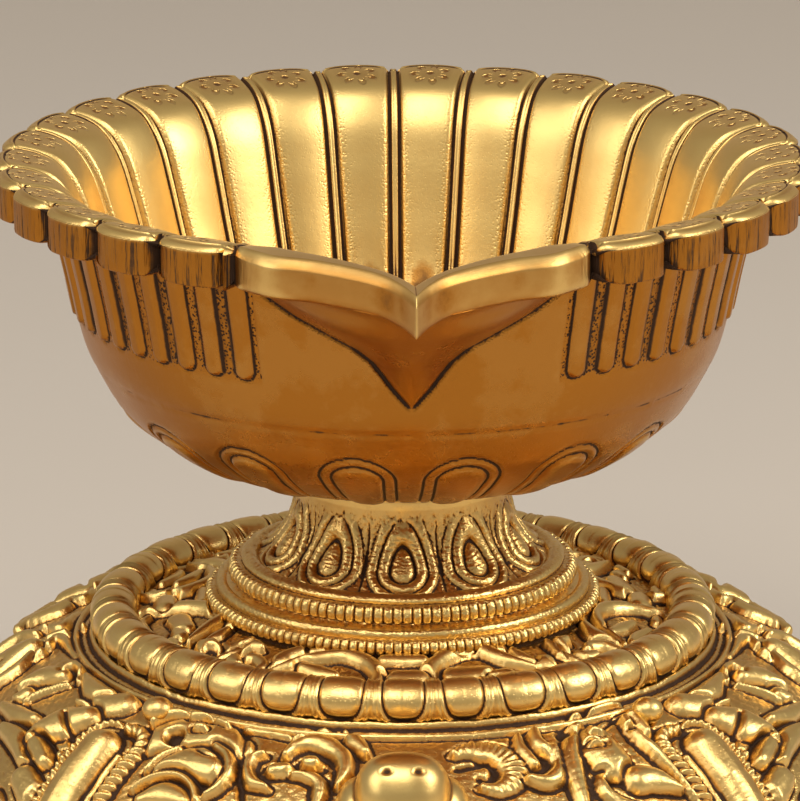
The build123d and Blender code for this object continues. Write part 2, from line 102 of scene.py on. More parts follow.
class LampColours(bpy.types.PropertyGroup):
    """Colours of the metal and the floor"""

    gold: colour("Gold", "Polished brass", (0.90, 0.63, 0.225))
    # Amber is the darker brass of tarnish and patina, and through the warm mark also painted reflection of a
    # brown table on the outer wall, rim band and underside, and painted shade under the rim, under the bowl
    # and deep inside it
    amber: colour("Amber", "Brass that has darkened a little", (0.46, 0.185, 0.026))
    patina: colour("Patina", "Dark patina in the recesses", (0.050, 0.020, 0.006))
    floor: colour("Floor", "Pale table top", (0.64, 0.57, 0.49))


# Shapes drawn as numbers
def ease(low, high, x):
    """Smooth step from 0 at low to 1 at high."""
    share = np.clip((x - low) / (high - low), 0, 1)
    return share * share * (3 - 2 * share)


def bump(x, width):
    """Bell of height 1 about zero."""
    return np.exp(-((x / width) ** 2))


def half_round(x, width):
    """Half-round ridge of height 1 about zero."""
    return np.clip(1 - (x / width) ** 2, 0, 1) ** 0.5


def spline(keys, t):
    """Smooth curve through keys, an array of points by columns, at the places t."""
    last = len(keys) - 1
    i = np.clip(np.floor(t).astype(int), 0, last - 1)
    u = (t - i).reshape((-1,) + (1,) * (keys.ndim - 1))
    a = keys[np.maximum(i - 1, 0)]
    b = keys[i]
    c = keys[i + 1]
    d = keys[np.minimum(i + 2, last)]
    linear = (c - a) * u
    square = (2 * a - 5 * b + 4 * c - d) * u**2
    cube = (3 * b - a - 3 * c + d) * u**3
    return b + 0.5 * (linear + square + cube)


def steps(*stretches):
    """Places along a spline: for each stretch of one key, that many even steps."""
    places = [np.arange(count) / count + i for i, count in enumerate(stretches)]
    return np.concatenate(places + [np.array([float(len(stretches))])])


def profile(points, columns):
    """The same section, as radius and height, for every column."""
    return np.repeat(np.array(points, float)[:, None, :], columns, axis=1)


def all_round(columns):
    """Even azimuths round the lamp, in degrees."""
    return np.arange(columns) * 360 / columns


def run_along(section):
    """Distance of each point of a section from its first one."""
    return np.concatenate(([0], np.cumsum(np.hypot(*np.diff(section, axis=0).T))))


def blur(values, reach, axis, wrap):
    """Running mean along one direction of a sheet."""
    if reach < 1:
        return values
    pad = [(0, 0)] * values.ndim
    pad[axis] = (reach + 1, reach)
    total = np.cumsum(np.pad(values, pad, mode="wrap" if wrap else "edge"), axis=axis)
    span = 2 * reach + 1
    ends = np.take(total, range(span, total.shape[axis]), axis=axis)
    starts = np.take(total, range(0, total.shape[axis] - span), axis=axis)
    return (ends - starts) / span


def smooth(values, reach, wrap):
    """Running mean along both directions of a sheet."""
    return blur(blur(values, reach, 0, False), reach, 1, wrap)


def slopes(points, wrap):
    """Unit normals of a sheet of points, to its visible side."""
    if wrap:
        across = np.roll(points, -1, 1) - np.roll(points, 1, 1)
    else:
        across = np.gradient(points, axis=1)
    normal = np.cross(np.gradient(points, axis=0), across)
    return normal / np.maximum(np.linalg.norm(normal, axis=2, keepdims=True), 1e-9)


def recess(points, wrap, reach, depth):
    """How deep each point lies below its surroundings: 1 in a recess, -1 on an edge."""
    normal = slopes(points, wrap)
    found = 0
    for share in (1.0, 0.35):
        mean = points
        for again in range(2):
            mean = blur(mean, max(1, round(reach[0] * share)), 0, False)
            mean = blur(mean, max(1, round(reach[1] * share)), 1, wrap)
        found = found + np.sum((mean - points) * normal, axis=2) / (depth * share)
    return np.clip(found, -1, 1)


def on_axis(azimuth, section):
    """Turn sections, as radius and height by rows and columns, to points on the lamp."""
    angle = np.radians(azimuth)[None, :]
    radius = section[..., 0]
    return np.stack((radius * np.sin(angle), -radius * np.cos(angle), section[..., 1]), axis=2)


def section_normals(section):
    """Unit normals of sections, as radius and height: up on a run outwards, out on a run down."""
    along = np.gradient(section, axis=0)
    normal = np.stack((-along[..., 1], along[..., 0]), axis=2)
    return normal / np.maximum(np.linalg.norm(normal, axis=2, keepdims=True), 1e-9)


def raised(section, height):
    """Sections moved out by a height along their normals."""
    return section + height[..., None] * section_normals(section)


# Pieces
def lay_sheet(name, points, marks, wrap=True, chart=None):
    """Grid primitive laid over the points of a sheet, with its marks and a closed seam."""

    def closed(values):
        return np.concatenate((values, values[:, :1]), axis=1) if wrap else values

    points = closed(points)
    rows, columns = points.shape[:2]
    bpy.ops.object.select_all(action="DESELECT")
    bpy.ops.mesh.primitive_grid_add(x_subdivisions=columns - 1, y_subdivisions=rows - 1, size=2)
    piece = bpy.context.object
    piece.name = name
    mesh = piece.data
    mesh.name = name
    place = np.empty(len(mesh.vertices) * 3)
    mesh.vertices.foreach_get("co", place)
    place = place.reshape(-1, 3)
    order = np.lexsort((place[:, 0], place[:, 1]))
    place[order] = points.reshape(-1, 3) * MM
    mesh.vertices.foreach_set("co", place.ravel())
    for mark, values in marks.items():
        sorted_values = np.empty(len(order))
        sorted_values[order] = closed(values).ravel()
        layer = mesh.attributes.new(mark, "FLOAT", "POINT")
        layer.data.foreach_set("value", sorted_values)
    if chart is not None:
        flat = np.empty((len(order), 2))
        flat[order] = closed(chart).reshape(-1, 2)
        corners = np.empty(len(mesh.loops), int)
        mesh.loops.foreach_get("vertex_index", corners)
        mesh.uv_layers.active.data.foreach_set("uv", flat[corners].ravel())
    mesh.update()
    bpy.ops.object.mode_set(mode="EDIT")
    bpy.ops.mesh.select_all(action="SELECT")
    bpy.ops.mesh.remove_doubles(threshold=MERGE_GAP)
    bpy.ops.mesh.flip_normals()
    bpy.ops.object.mode_set(mode="OBJECT")
    bpy.ops.object.shade_smooth()
    return piece


def finish_piece(piece, body, nodes, finish):
    """Tie a piece to its body, the nodes that it stands for and its finish."""
    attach(piece, body)
    for name in nodes:
        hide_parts(name)
    piece.data.materials.clear()
    piece.data.materials.append(bpy.data.materials[finish])


# Materials, with the flowers of the lobes in millimetres of their chart
CHART_SIZE = 20.0
FLOWER_INSET = 4.9
FLOWER_PETALS = 7.0
# Depth of the grain in the finish, in metres
GRAIN_DEPTH = 0.00008


def node(tree, kind, values=None, **settings):
    """Shader node with its settings and the values of its inputs."""
    made = tree.nodes.new(kind)
    for key, value in settings.items():
        setattr(made, key, value)
    for key, value in (values or {}).items():
        if isinstance(value, bpy.types.NodeSocket):
            tree.links.new(value, made.inputs[key])
        else:
            made.inputs[key].default_value = value
    return made


def shade_math(tree, operation, *values):
    """Math node on sockets or numbers."""
    return node(tree, "ShaderNodeMath", dict(enumerate(values)), operation=operation).outputs[0]


def times(tree, first, second):
    """Product of two values."""
    return shade_math(tree, "MULTIPLY", first, second)


def plus(tree, first, second):
    """Sum of two values."""
    return shade_math(tree, "ADD", first, second)


def times_plus(tree, first, second, third):
    """Product of two values, and a third one added."""
    return shade_math(tree, "MULTIPLY_ADD", first, second, third)


def shade_ramp(tree, value, low, high, start=0.0, end=1.0):
    """Smooth remap of a value."""
    values = {"Value": value, "From Min": low, "From Max": high, "To Min": start, "To Max": end}
    return node(tree, "ShaderNodeMapRange", values, interpolation_type="SMOOTHSTEP").outputs[0]


def shade_mix(tree, share, first, second):
    """Mix of two colours."""
    values = {0: share, 6: first, 7: second}
    return node(tree, "ShaderNodeMix", values, data_type="RGBA", clamp_factor=True).outputs[2]


def surface_mark(tree, name):
    """Mark of the mesh that was stored with its points."""
    return node(tree, "ShaderNodeAttribute", attribute_name=name).outputs["Fac"]


def own_place(tree):
    """The object's own coordinates."""
    return node(tree, "ShaderNodeTexCoord").outputs["Object"]


def group(name, inputs, outputs):
    """Empty shader node group with its sockets."""
    tree = bpy.data.node_groups.new(name, "ShaderNodeTree")
    for title, value in inputs.items():
        kind = "NodeSocketColor" if isinstance(value, tuple) else "NodeSocketFloat"
        socket = tree.interface.new_socket(title, in_out="INPUT", socket_type=kind)
        socket.default_value = value
    for title, kind in outputs.items():
        tree.interface.new_socket(title, in_out="OUTPUT", socket_type=kind)
    return tree, tree.nodes.new("NodeGroupInput"), tree.nodes.new("NodeGroupOutput")


def noise(tree, scale, detail, rough=0.55):
    """Noise on the object's own coordinates, in waves per metre."""
    values = {"Vector": own_place(tree), "Scale": scale, "Detail": detail, "Roughness": rough}
    return node(tree, "ShaderNodeTexNoise", values).outputs[0]


def make_patina_group():
    """Dark patina that lies in the recesses, and wear on the edges; painted shade and painted reflection that
    some pieces add into their recess mark are darkened here too.
    """
    sockets = {"Recess": 0.0, "Amount": 1.0, "Spread": 0.3}
    results = {"Patina": "NodeSocketFloat", "Wear": "NodeSocketFloat"}
    tree, source, target = group("patina", sockets, results)
    ragged = times_plus(tree, noise(tree, 520, 5, 0.65), 1.6, -0.8)
    spread = times(tree, ragged, source.outputs["Spread"])
    depth = plus(tree, times(tree, source.outputs["Recess"], source.outputs["Amount"]), spread)
    tree.links.new(shade_ramp(tree, depth, 0.10, 0.85), target.inputs["Patina"])
    worn = plus(tree, times(tree, source.outputs["Recess"], -1.0), spread)
    tree.links.new(shade_ramp(tree, worn, 0.08, 0.7), target.inputs["Wear"])


def make_tarnish_group():
    """Slow changes of tone over the metal, as a mask."""
    tree, source, target = group("tarnish", {"Amount": 1.0}, {"Tone": "NodeSocketFloat"})
    broad = noise(tree, 38, 3, 0.5)
    fine = noise(tree, 160, 4, 0.6)
    tone = shade_ramp(tree, times_plus(tree, fine, 0.4, times(tree, broad, 0.6)), 0.40, 0.66)
    tree.links.new(times(tree, tone, source.outputs["Amount"]), target.inputs["Tone"])


def make_grain_group():
    """Grain of cast metal with small pits, as a height, and dark specks, as a mask."""
    sockets = {"Grain": 1.0, "Pits": 0.3, "Stipple": 0.0}
    results = {"Height": "NodeSocketFloat", "Specks": "NodeSocketFloat"}
    tree, source, target = group("cast_grain", sockets, results)
    fine = noise(tree, 1400, 3, 0.6)
    coarse = noise(tree, 620, 2, 0.5)
    grain = times_plus(tree, coarse, 0.6, times(tree, fine, 0.5))
    grain = times(tree, grain, source.outputs["Grain"])
    values = {"Vector": own_place(tree), "Scale": 2300.0}
    cells = node(tree, "ShaderNodeTexVoronoi", values).outputs[0]
    pits = times(tree, shade_ramp(tree, cells, 0.05, 0.32), source.outputs["Pits"])
    punched = times(tree, shade_ramp(tree, cells, 0.1, 0.6), source.outputs["Stipple"])
    height = plus(tree, grain, times_plus(tree, punched, 0.6, pits))
    tree.links.new(height, target.inputs["Height"])
    specks = shade_ramp(tree, plus(tree, cells, fine), 1.02, 0.62)
    tree.links.new(times(tree, specks, source.outputs["Stipple"]), target.inputs["Specks"])


def make_file_group():
    """Upright marks of a file, as a mask that varies round the lamp and hardly with height."""
    tree, source, target = group("file_marks", {"Strength": 1.0}, {"Marks": "NodeSocketFloat"})
    upright = (1.0, 1.0, 0.06)
    stretched = node(tree, "ShaderNodeMapping", {"Vector": own_place(tree), "Scale": upright}).outputs[0]
    values = {"Vector": stretched, "Scale": 1500.0, "Detail": 3.0, "Roughness": 0.7}
    lines = node(tree, "ShaderNodeTexNoise", values).outputs[0]
    marks = shade_ramp(tree, lines, 0.46, 0.64)
    tree.links.new(times(tree, marks, source.outputs["Strength"]), target.inputs["Marks"])


def make_flower_group():
    """Flower of crescent punches round a dot on each lobe, drawn on its own UV in millimetres."""
    tree, source, target = group("punched_flower", {"Strength": 1.0}, {"Dents": "NodeSocketFloat"})
    place = node(tree, "ShaderNodeUVMap", uv_map="UVMap").outputs[0]
    parts = node(tree, "ShaderNodeSeparateXYZ", {0: place})
    across = times_plus(tree, parts.outputs[0], CHART_SIZE, -CHART_SIZE / 2)
    inward = times_plus(tree, parts.outputs[1], CHART_SIZE, -FLOWER_INSET)
    inward = times(tree, inward, 0.95)
    square = times_plus(tree, across, across, times(tree, inward, inward))
    radius = shade_math(tree, "SQRT", square)
    angle = shade_math(tree, "ARCTAN2", inward, across)
    petals = shade_math(tree, "COSINE", times(tree, angle, FLOWER_PETALS))
    bow = times_plus(tree, petals, 0.45, 2.25)
    off = shade_math(tree, "ABSOLUTE", shade_math(tree, "SUBTRACT", radius, bow))
    ends = shade_ramp(tree, petals, -0.55, 0.15)
    crescents = times(tree, shade_ramp(tree, off, 0.62, 0.24), ends)
    middle = shade_ramp(tree, radius, 0.75, 0.35)
    marks = shade_math(tree, "MAXIMUM", crescents, middle)
    tree.links.new(times(tree, marks, source.outputs["Strength"]), target.inputs["Dents"])


def use_group(tree, name, **values):
    """Node of a shared group with its inputs set."""
    return node(tree, "ShaderNodeGroup", values, node_tree=bpy.data.node_groups[name])


def brass(
    name,
    colours,
    polish=0.30,
    amount=1.0,
    spread=0.25,
    tarnish=0.5,
    grain=0.3,
    pits=0.1,
    flowers=0.0,
    files=0.0,
):
    """Brass with patina in its recesses, worn edges and the grain of its casting."""
    material = bpy.data.materials.new(name)
    material.use_nodes = True
    tree = material.node_tree
    shader = tree.nodes["Principled BSDF"]
    surface = use_group(tree, "cast_grain", Grain=grain, Pits=pits, Stipple=surface_mark(tree, "stipple"))
    mark = times_plus(tree, surface.outputs["Specks"], 0.55, surface_mark(tree, "recess"))
    height = surface.outputs["Height"]
    if flowers:
        punched = use_group(tree, "punched_flower", Strength=flowers)
        dents = times(tree, punched.outputs["Dents"], surface_mark(tree, "pad"))
        mark = times_plus(tree, dents, 0.75, mark)
        height = times_plus(tree, dents, -5.0, height)
    if files:
        filed = use_group(tree, "file_marks", Strength=files)
        lines = times(tree, filed.outputs["Marks"], surface_mark(tree, "filed"))
        mark = times_plus(tree, lines, 0.5, mark)
        height = times_plus(tree, lines, -1.2, height)
    patina = use_group(tree, "patina", Recess=mark, Amount=amount, Spread=spread)
    tone = use_group(tree, "tarnish", Amount=tarnish).outputs["Tone"]
    gold = (*colours.gold, 1)
    amber = (*colours.amber, 1)
    dark = (*colours.patina, 1)
    # The warm mark shifts the metal towards amber: on the wall, rim band and underside this is painted
    # reflection and painted shade, elsewhere the tone of the brass
    warmth = plus(tree, times(tree, tone, 0.6), surface_mark(tree, "warm"))
    metal = shade_mix(tree, warmth, gold, amber)
    metal = shade_mix(tree, times(tree, patina.outputs["Wear"], 0.7), metal, gold)
    half = shade_ramp(tree, patina.outputs["Patina"], 0.0, 0.5)
    metal = shade_mix(tree, times(tree, half, 0.85), metal, amber)
    deep = shade_ramp(tree, patina.outputs["Patina"], 0.35, 1.0)
    metal = shade_mix(tree, deep, metal, dark)
    tree.links.new(metal, shader.inputs["Base Color"])
    matt = times_plus(tree, tone, 0.10, times_plus(tree, deep, 0.35, polish))
    tree.links.new(matt, shader.inputs["Roughness"])
    tree.links.new(shade_ramp(tree, deep, 0, 1, 1.0, 0.45), shader.inputs["Metallic"])
    relief = node(tree, "ShaderNodeBump", {"Height": height, "Distance": GRAIN_DEPTH, "Strength": 1.0})
    tree.links.new(relief.outputs[0], shader.inputs["Normal"])


def make_materials(colours):
    """All finishes of the lamp."""
    make_patina_group()
    make_tarnish_group()
    make_grain_group()
    make_file_group()
    make_flower_group()
    brass("lobes_brass", colours, polish=0.36, tarnish=0.35, flowers=1.0)
    brass("wall_brass", colours, polish=0.27, tarnish=0.7, grain=0.35, pits=0.15)
    brass("rim_brass", colours, polish=0.36, tarnish=0.4, files=1.0)
    brass("cast_brass", colours, polish=0.31, spread=0.30, grain=0.85, pits=0.3)
    brass("head_brass", colours, tarnish=0.4, grain=0.2)
    brass("fixing_brass", colours, polish=0.36, amount=0.6, tarnish=0.8, grain=0.25)


# Bowl, in millimetres out from the axis and above its foot
NOTCH_DEPTH = 2.3
LIP_SETBACK = 1.4
LIP_DIP = 2.2
BEAK_ROOT = 60.5
WALL_RADIUS = 50.0
WALL_TOP = (51.3, 41.45)
WALL_FOOT = (44.5, 16.2)
BAR_END = 27.2
BAR_RADIUS = 1.38
KEEL_SWELL = 17.5
# Heights of the keel under the beak, and its half width at each
KEEL_HEIGHTS = (22.6, 23.4, 25.8, 28.0, 30.0, 32.0, 34.2, 36.6, 38.8, 41.6)
KEEL_WIDTHS = (0.2, 0.9, 2.9, 4.4, 5.9, 8.4, 12.6, 17.0, 20.3, 23.6)
# Azimuth from the front, in degrees, outside which nothing of the keel is left
KEEL_SIDE = 29


def bowl_frame():
    """Sizes of the bowl, in millimetres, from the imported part."""
    low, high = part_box("bowl")
    return {
        "foot": low[2] / MM,
        "height": high[2] / MM - low[2] / MM,
        "rim": high[0] / MM,
        "reach": -low[1] / MM,
    }


def lobe_pitch(sizes):
    """Angle from lobe to lobe, in degrees."""
    return (360 - 2 * math.degrees(sizes.beak_angle)) / sizes.lobes


def bowl_azimuths(sizes):
    """Columns of the bowl: close beside the grooves and at the point of the beak."""
    beak_columns = 180
    lobe_columns = 34
    crowding = 0.75
    beak = math.degrees(sizes.beak_angle)
    share = np.linspace(-1, 1, beak_columns + 1)[:-1]
    spout = beak * np.sign(share) * np.abs(share) ** 1.4
    even = np.arange(lobe_columns) / lobe_columns
    lobe = even - crowding * np.sin(2 * np.pi * even) / (2 * np.pi)
    rest = [beak + (number + lobe) * lobe_pitch(sizes) for number in range(sizes.lobes)]
    return np.concatenate([spout] + rest)


def off_front(azimuth):
    """Angle from the front, on either side."""
    return np.abs((azimuth + 180) % 360 - 180)


def in_beak(azimuth, sizes):
    """Which columns belong to the beak."""
    return off_front(azimuth) < math.degrees(sizes.beak_angle) - 1e-6


def lobe_share(azimuth, sizes):
    """Share of its lobe that each column has reached, and 0 in the beak."""
    share = ((azimuth - math.degrees(sizes.beak_angle)) / lobe_pitch(sizes)) % 1
    return np.where(in_beak(azimuth, sizes), 0.0, share)


def groove_angle(azimuth, sizes):
    """Angle of each column from the nearest groove between lobes."""
    share = lobe_share(azimuth, sizes)
    aside = math.degrees(sizes.beak_angle) - off_front(azimuth)
    return np.where(in_beak(azimuth, sizes), aside, np.minimum(share, 1 - share) * lobe_pitch(sizes))


def ogee(points, azimuth):
    """Radius of a beak outline, given as points from its point to its side, at azimuths."""
    keys = np.array(points, float)
    curve = spline(keys, np.linspace(0, len(keys) - 1, 160))
    angles = np.degrees(np.arctan2(curve[:, 0], curve[:, 1]))
    return np.interp(off_front(azimuth), angles, np.hypot(curve[:, 0], curve[:, 1]))


def outer_edge(azimuth, sizes, bowl):
    """Radius of the outer edge of the lip."""
    share = lobe_share(azimuth, sizes)
    lobe = np.clip(1 - np.abs(2 * share - 1) ** 2.6, 0, 1) ** 0.65
    lobes = bowl["rim"] - NOTCH_DEPTH + NOTCH_DEPTH * lobe
    reach = bowl["reach"]
    point = ((0, reach), (2.2, reach - 4.0), (5.6, reach - 7.6), (13.5, 60.3), (20.4, 57.4), (25.3, 51.95))
    return np.where(in_beak(azimuth, sizes), ogee(point, azimuth), lobes)


def inner_edge(azimuth, bowl):
    """Radius of the inner edge of the lip, beside the channel of the beak."""
    reach = bowl["reach"]
    return ogee(((0, reach - 8), (3, reach - 10.7), (9.1, 57), (16.8, 51.8), (22.5, 46.2)), azimuth)


def lip_dip(azimuth, sizes, bowl):
    """How far the lip dips towards the point of the beak."""
    outer = outer_edge(azimuth, sizes, bowl)
    share = np.clip((outer - BEAK_ROOT) / (bowl["reach"] - BEAK_ROOT), 0, 1)
    return LIP_DIP * share * in_beak(azimuth, sizes)


def bowl_points(azimuth, sizes, bowl, section):
    """Points on the lamp of sections of the bowl, at the bowl's height and turn."""
    return on_axis(azimuth + math.degrees(sizes.bowl_turn), section + (0, bowl["foot"]))


def keel(azimuth, level):
    """Swell of the keel at azimuths and heights, and the distance from its outline."""
    half = np.interp(level, KEEL_HEIGHTS, KEEL_WIDTHS)
    across = np.radians(off_front(azimuth)) * WALL_RADIUS
    share = np.clip(across / half, 0, 1)
    sharp = ease(36, 41.5, level)
    flank = (1 - sharp) * (1 - share**2) ** 1.35 + sharp * (1 - share) ** 1.15
    rise = np.clip((level - KEEL_HEIGHTS[0]) / (KEEL_HEIGHTS[-1] - KEEL_HEIGHTS[0]), 0, None)
    return KEEL_SWELL * rise**1.5 * flank, across - half


def inside_keys(azimuth, sizes, bowl):
    """Sections of the inside of the bowl for every column, from the floor to the edge of the pads."""
    outer = outer_edge(azimuth, sizes, bowl)
    inner = inner_edge(azimuth, bowl)
    dip = lip_dip(azimuth, sizes, bowl)
    height = bowl["height"]
    floor = ((0, 5.8), (14, 6.3), (25.75, 7.5), (36, 12.5))
    wall = ((40.2, 18.1), (43.6, 27.6), (46.2, 36), (48.2, 41.6), (50.9, 45.4))
    pads = ((54.4, height - 1.15), (58.4, height - 0.45))
    keys = profile(floor + wall + pads, len(azimuth))
    shoulder, flare, brink, pad, edge = range(6, 11)
    keys[pad, :, 0] += 0.4 * (outer - bowl["rim"])
    keys[edge, :, 0] = outer - LIP_SETBACK
    spout = keys.copy()
    widen = inner - WALL_RADIUS
    spout[shoulder, :, 0] = 46.0 + 0.30 * widen
    spout[flare, :, 0] = 47.8 + 0.66 * widen
    spout[brink, :, 0] = inner - 0.5
    spout[brink, :, 1] = height - 1.9 - dip
    spout[pad, :, 0] = inner + 1.0
    spout[pad, :, 1] = height - 0.65 - dip
    spout[edge, :, 1] = height - 0.45 - dip
    beak = 1 - ease(17, 26, off_front(azimuth))[None, :, None]
    return keys * (1 - beak) + spout * beak


def model_bowl_inside(sizes, bowl):
    """Inside of the bowl: floor, lobed wall, flared lip and the channel of the beak."""
    azimuth = bowl_azimuths(sizes)
    lobed = ~in_beak(azimuth, sizes)[None, :]
    section = spline(inside_keys(azimuth, sizes, bowl), steps(2, 3, 4, 5, 6, 8, 9, 10, 12, 18))
    radius = section[..., 0]
    inward = outer_edge(azimuth, sizes, bowl)[None, :] - radius
    away = np.radians(groove_angle(azimuth, sizes))[None, :] * radius
    half = np.radians(lobe_pitch(sizes) / 2) * np.maximum(radius, 1)
    pillow = np.where(lobed, 1 - (1 - np.clip(away / half, 0, 1)) ** 2.2, 0)
    rise = ease(24, 38, radius)
    flat = 1 - 0.6 * ease(50, 55, radius)
    cut = bump(away - 0.78, 0.28)
    line = bump(inward - 1.85, 0.16) * lobed
    height = rise * (flat * pillow * sizes.pad_rise / MM - cut * sizes.groove_depth / MM) - 0.22 * line
    points = bowl_points(azimuth, sizes, bowl, raised(section, height))
    deep = recess(points, True, (3, 5), 0.45) * ease(24, 40, radius)
    beside = bump(away - 1.3, 0.9) * ease(30, 38, radius) * ease(54, 47, radius)
    marks = {
        "recess": np.clip(deep + 0.75 * rise * cut + 0.5 * line, -1, 1),
        # More amber towards the floor of the bowl: painted shade deep inside it
        "warm": 0.05 + 0.40 * ease(46, 24, radius) + 0.35 * beside + 0.1 * ease(50, 54, radius),
        "stipple": np.where(lobed, 0.6 * beside, 0),
        "pad": ease(49.5, 51, radius) * lobed,
    }
    across = (lobe_share(azimuth, sizes) - 0.5)[None, :] * 2 * half
    chart = np.stack((across / CHART_SIZE + 0.5, inward / CHART_SIZE), axis=2)
    return lay_sheet("bowl_inside", points, marks, chart=chart), points


def passing(first, second, share):
    """Rows of numbers that pass from one list to another by columns."""
    start = np.array(first, float)[:, None]
    return start + (np.array(second, float)[:, None] - start) * share


def model_bowl_edge(sizes, bowl, top):
    """Chamfer and filed outer band of the rim, and its underside."""
    azimuth = bowl_azimuths(sizes)
    off = off_front(azimuth)
    lobed = ~in_beak(azimuth, sizes)
    outer = outer_edge(azimuth, sizes, bowl)
    dip = lip_dip(azimuth, sizes, bowl)
    height = bowl["height"]
    # Setback from the outer edge and drop from the top: crisp on the lobes, round on the beak
    crisp_setback = (LIP_SETBACK, 0.75, 0.12, 0, 0.05, 0.35, 1.5)
    crisp_drop = (0.45, 0.58, 1.15, 1.7, 5.75, 6.25, 6.5, 6.75)
    round_setback = (LIP_SETBACK, 0.9, 0.1, -0.05, 0, 0.7, 1.8)
    round_drop = (0.45, 0.72, 1.7, 2.6, 5.5, 6.4, 6.65, 6.75)
    soft = ease(27, 22, off)
    swell = keel(azimuth, 41.5)[0]
    wall = np.minimum(WALL_TOP[0] + swell, outer - 2.6)
    run = np.concatenate((outer - passing(crisp_setback, round_setback, soft), wall[None, :]))
    drop = passing(crisp_drop, round_drop, soft)
    section = spline(np.stack((run, height - drop - dip), axis=2), steps(3, 5, 5, 8, 5, 4, 6))
    radius = section[..., 0]
    away = np.radians(groove_angle(azimuth, sizes)) * radius
    notch = bump(away, 0.85) * ease(52.5, 54.5, radius)
    band = ease(0.9, 1.6, height - section[..., 1] - dip) * ease(54, 56, radius)
    facet = ease(0.34, 0.06, lobe_share(azimuth, sizes)) * lobed
    points = bowl_points(azimuth, sizes, bowl, raised(section, -(1.1 * notch + 0.5 * band * facet)))
    points[0] = top
    deep = recess(points, True, (2, 5), 0.5)
    deep = np.where(band * (1 - soft) > 0.5, np.clip(0.4 * deep, 0, 1), deep)
    # Painted reflection: the upright filed band is made darker amber and darker in its recess mark; painted
    # shade: the low part under the rim is made more amber
    low = ease(height - 5.0, height - 7, section[..., 1] + dip)
    tone = 0.30 + 0.65 * (1 - 0.6 * soft) * band
    marks = {
        "recess": np.clip(deep + 0.15 * band + 0.9 * notch, -1, 1),
        "warm": np.clip(tone + 0.35 * low, 0, 1),
        "filed": (1 - 0.85 * soft) * np.where(lobed, 1, ease(18, 26, off)) * band,
    }
    return lay_sheet("bowl_rim_edge", points, marks), points


def model_bowl_wall(sizes, bowl, top):
    """Outside wall with its finger bars and the keel under the beak."""
    azimuth = bowl_azimuths(sizes)
    lobed = ~in_beak(azimuth, sizes)[None, :]
    plain = (WALL_TOP, (50.4, 37), (49.2, 31.5), (48.1, 26), (46.6, 20.5), WALL_FOOT)
    section = spline(profile(plain, len(azimuth)), steps(16, 20, 22, 16, 10))
    level = section[..., 1]
    swell, vee = keel(azimuth, level)
    section[..., 0] += swell
    # Two finger bars to a lobe, each with a round lower end
    pitch = lobe_pitch(sizes) / 2
    place = (azimuth - math.degrees(sizes.beak_angle)) % pitch - pitch / 2
    across = np.radians(place)[None, :] * WALL_RADIUS
    shape = np.hypot(across, np.clip(BAR_END - level, 0, None)) - BAR_RADIUS
    shape = np.where(lobed, shape, 9.0)
    bars = ease(0.25, -0.5, shape)
    sides = bump(shape - 0.22, 0.22)
    between = ease(0.2, 0.6, shape) * ease(24.6, 26.4, level) * lobed
    # Line along the keel, and a worn ring round the wall
    at_keel = (off_front(azimuth) < KEEL_SIDE)[None, :]
    line = bump(vee, 0.42) * at_keel * ease(22.2, 23.2, level) * ease(41.2, 40, level)
    draw = np.random.default_rng(31)
    uneven = np.clip(1.7 * blur(draw.uniform(-0.35, 1.0, len(azimuth)), 5, 0, True), 0, 1)
    ring = bump(level - 18.3, 0.24) * uneven
    height = bars * sizes.bar_rise / MM - 0.35 * sides - 0.5 * line - 0.25 * ring - 0.15 * between
    points = bowl_points(azimuth, sizes, bowl, raised(section, height))
    points[0] = top
    deep = np.clip(0.5 * recess(points, True, (3, 5), 0.5), -0.12, 0.25)
    deep = np.clip(deep + 0.85 * sides * lobed + 0.8 * line + ring, -1, 1)
    near = bump(vee - 1.5, 1.6) * at_keel * ease(22, 25, level)
    # Painted reflection: the wall is made nearly all amber for a brown table that it would mirror; painted
    # shade: more amber towards its top, under the rim
    marks = {
        "recess": np.clip(deep + 0.22 * between, -1, 1),
        "warm": np.clip(0.92 + 0.1 * between + 0.1 * ease(36, 42, level), 0, 1),
        "stipple": np.clip(between + 0.6 * near, 0, 1),
    }
    return lay_sheet("bowl_wall", points, marks), points


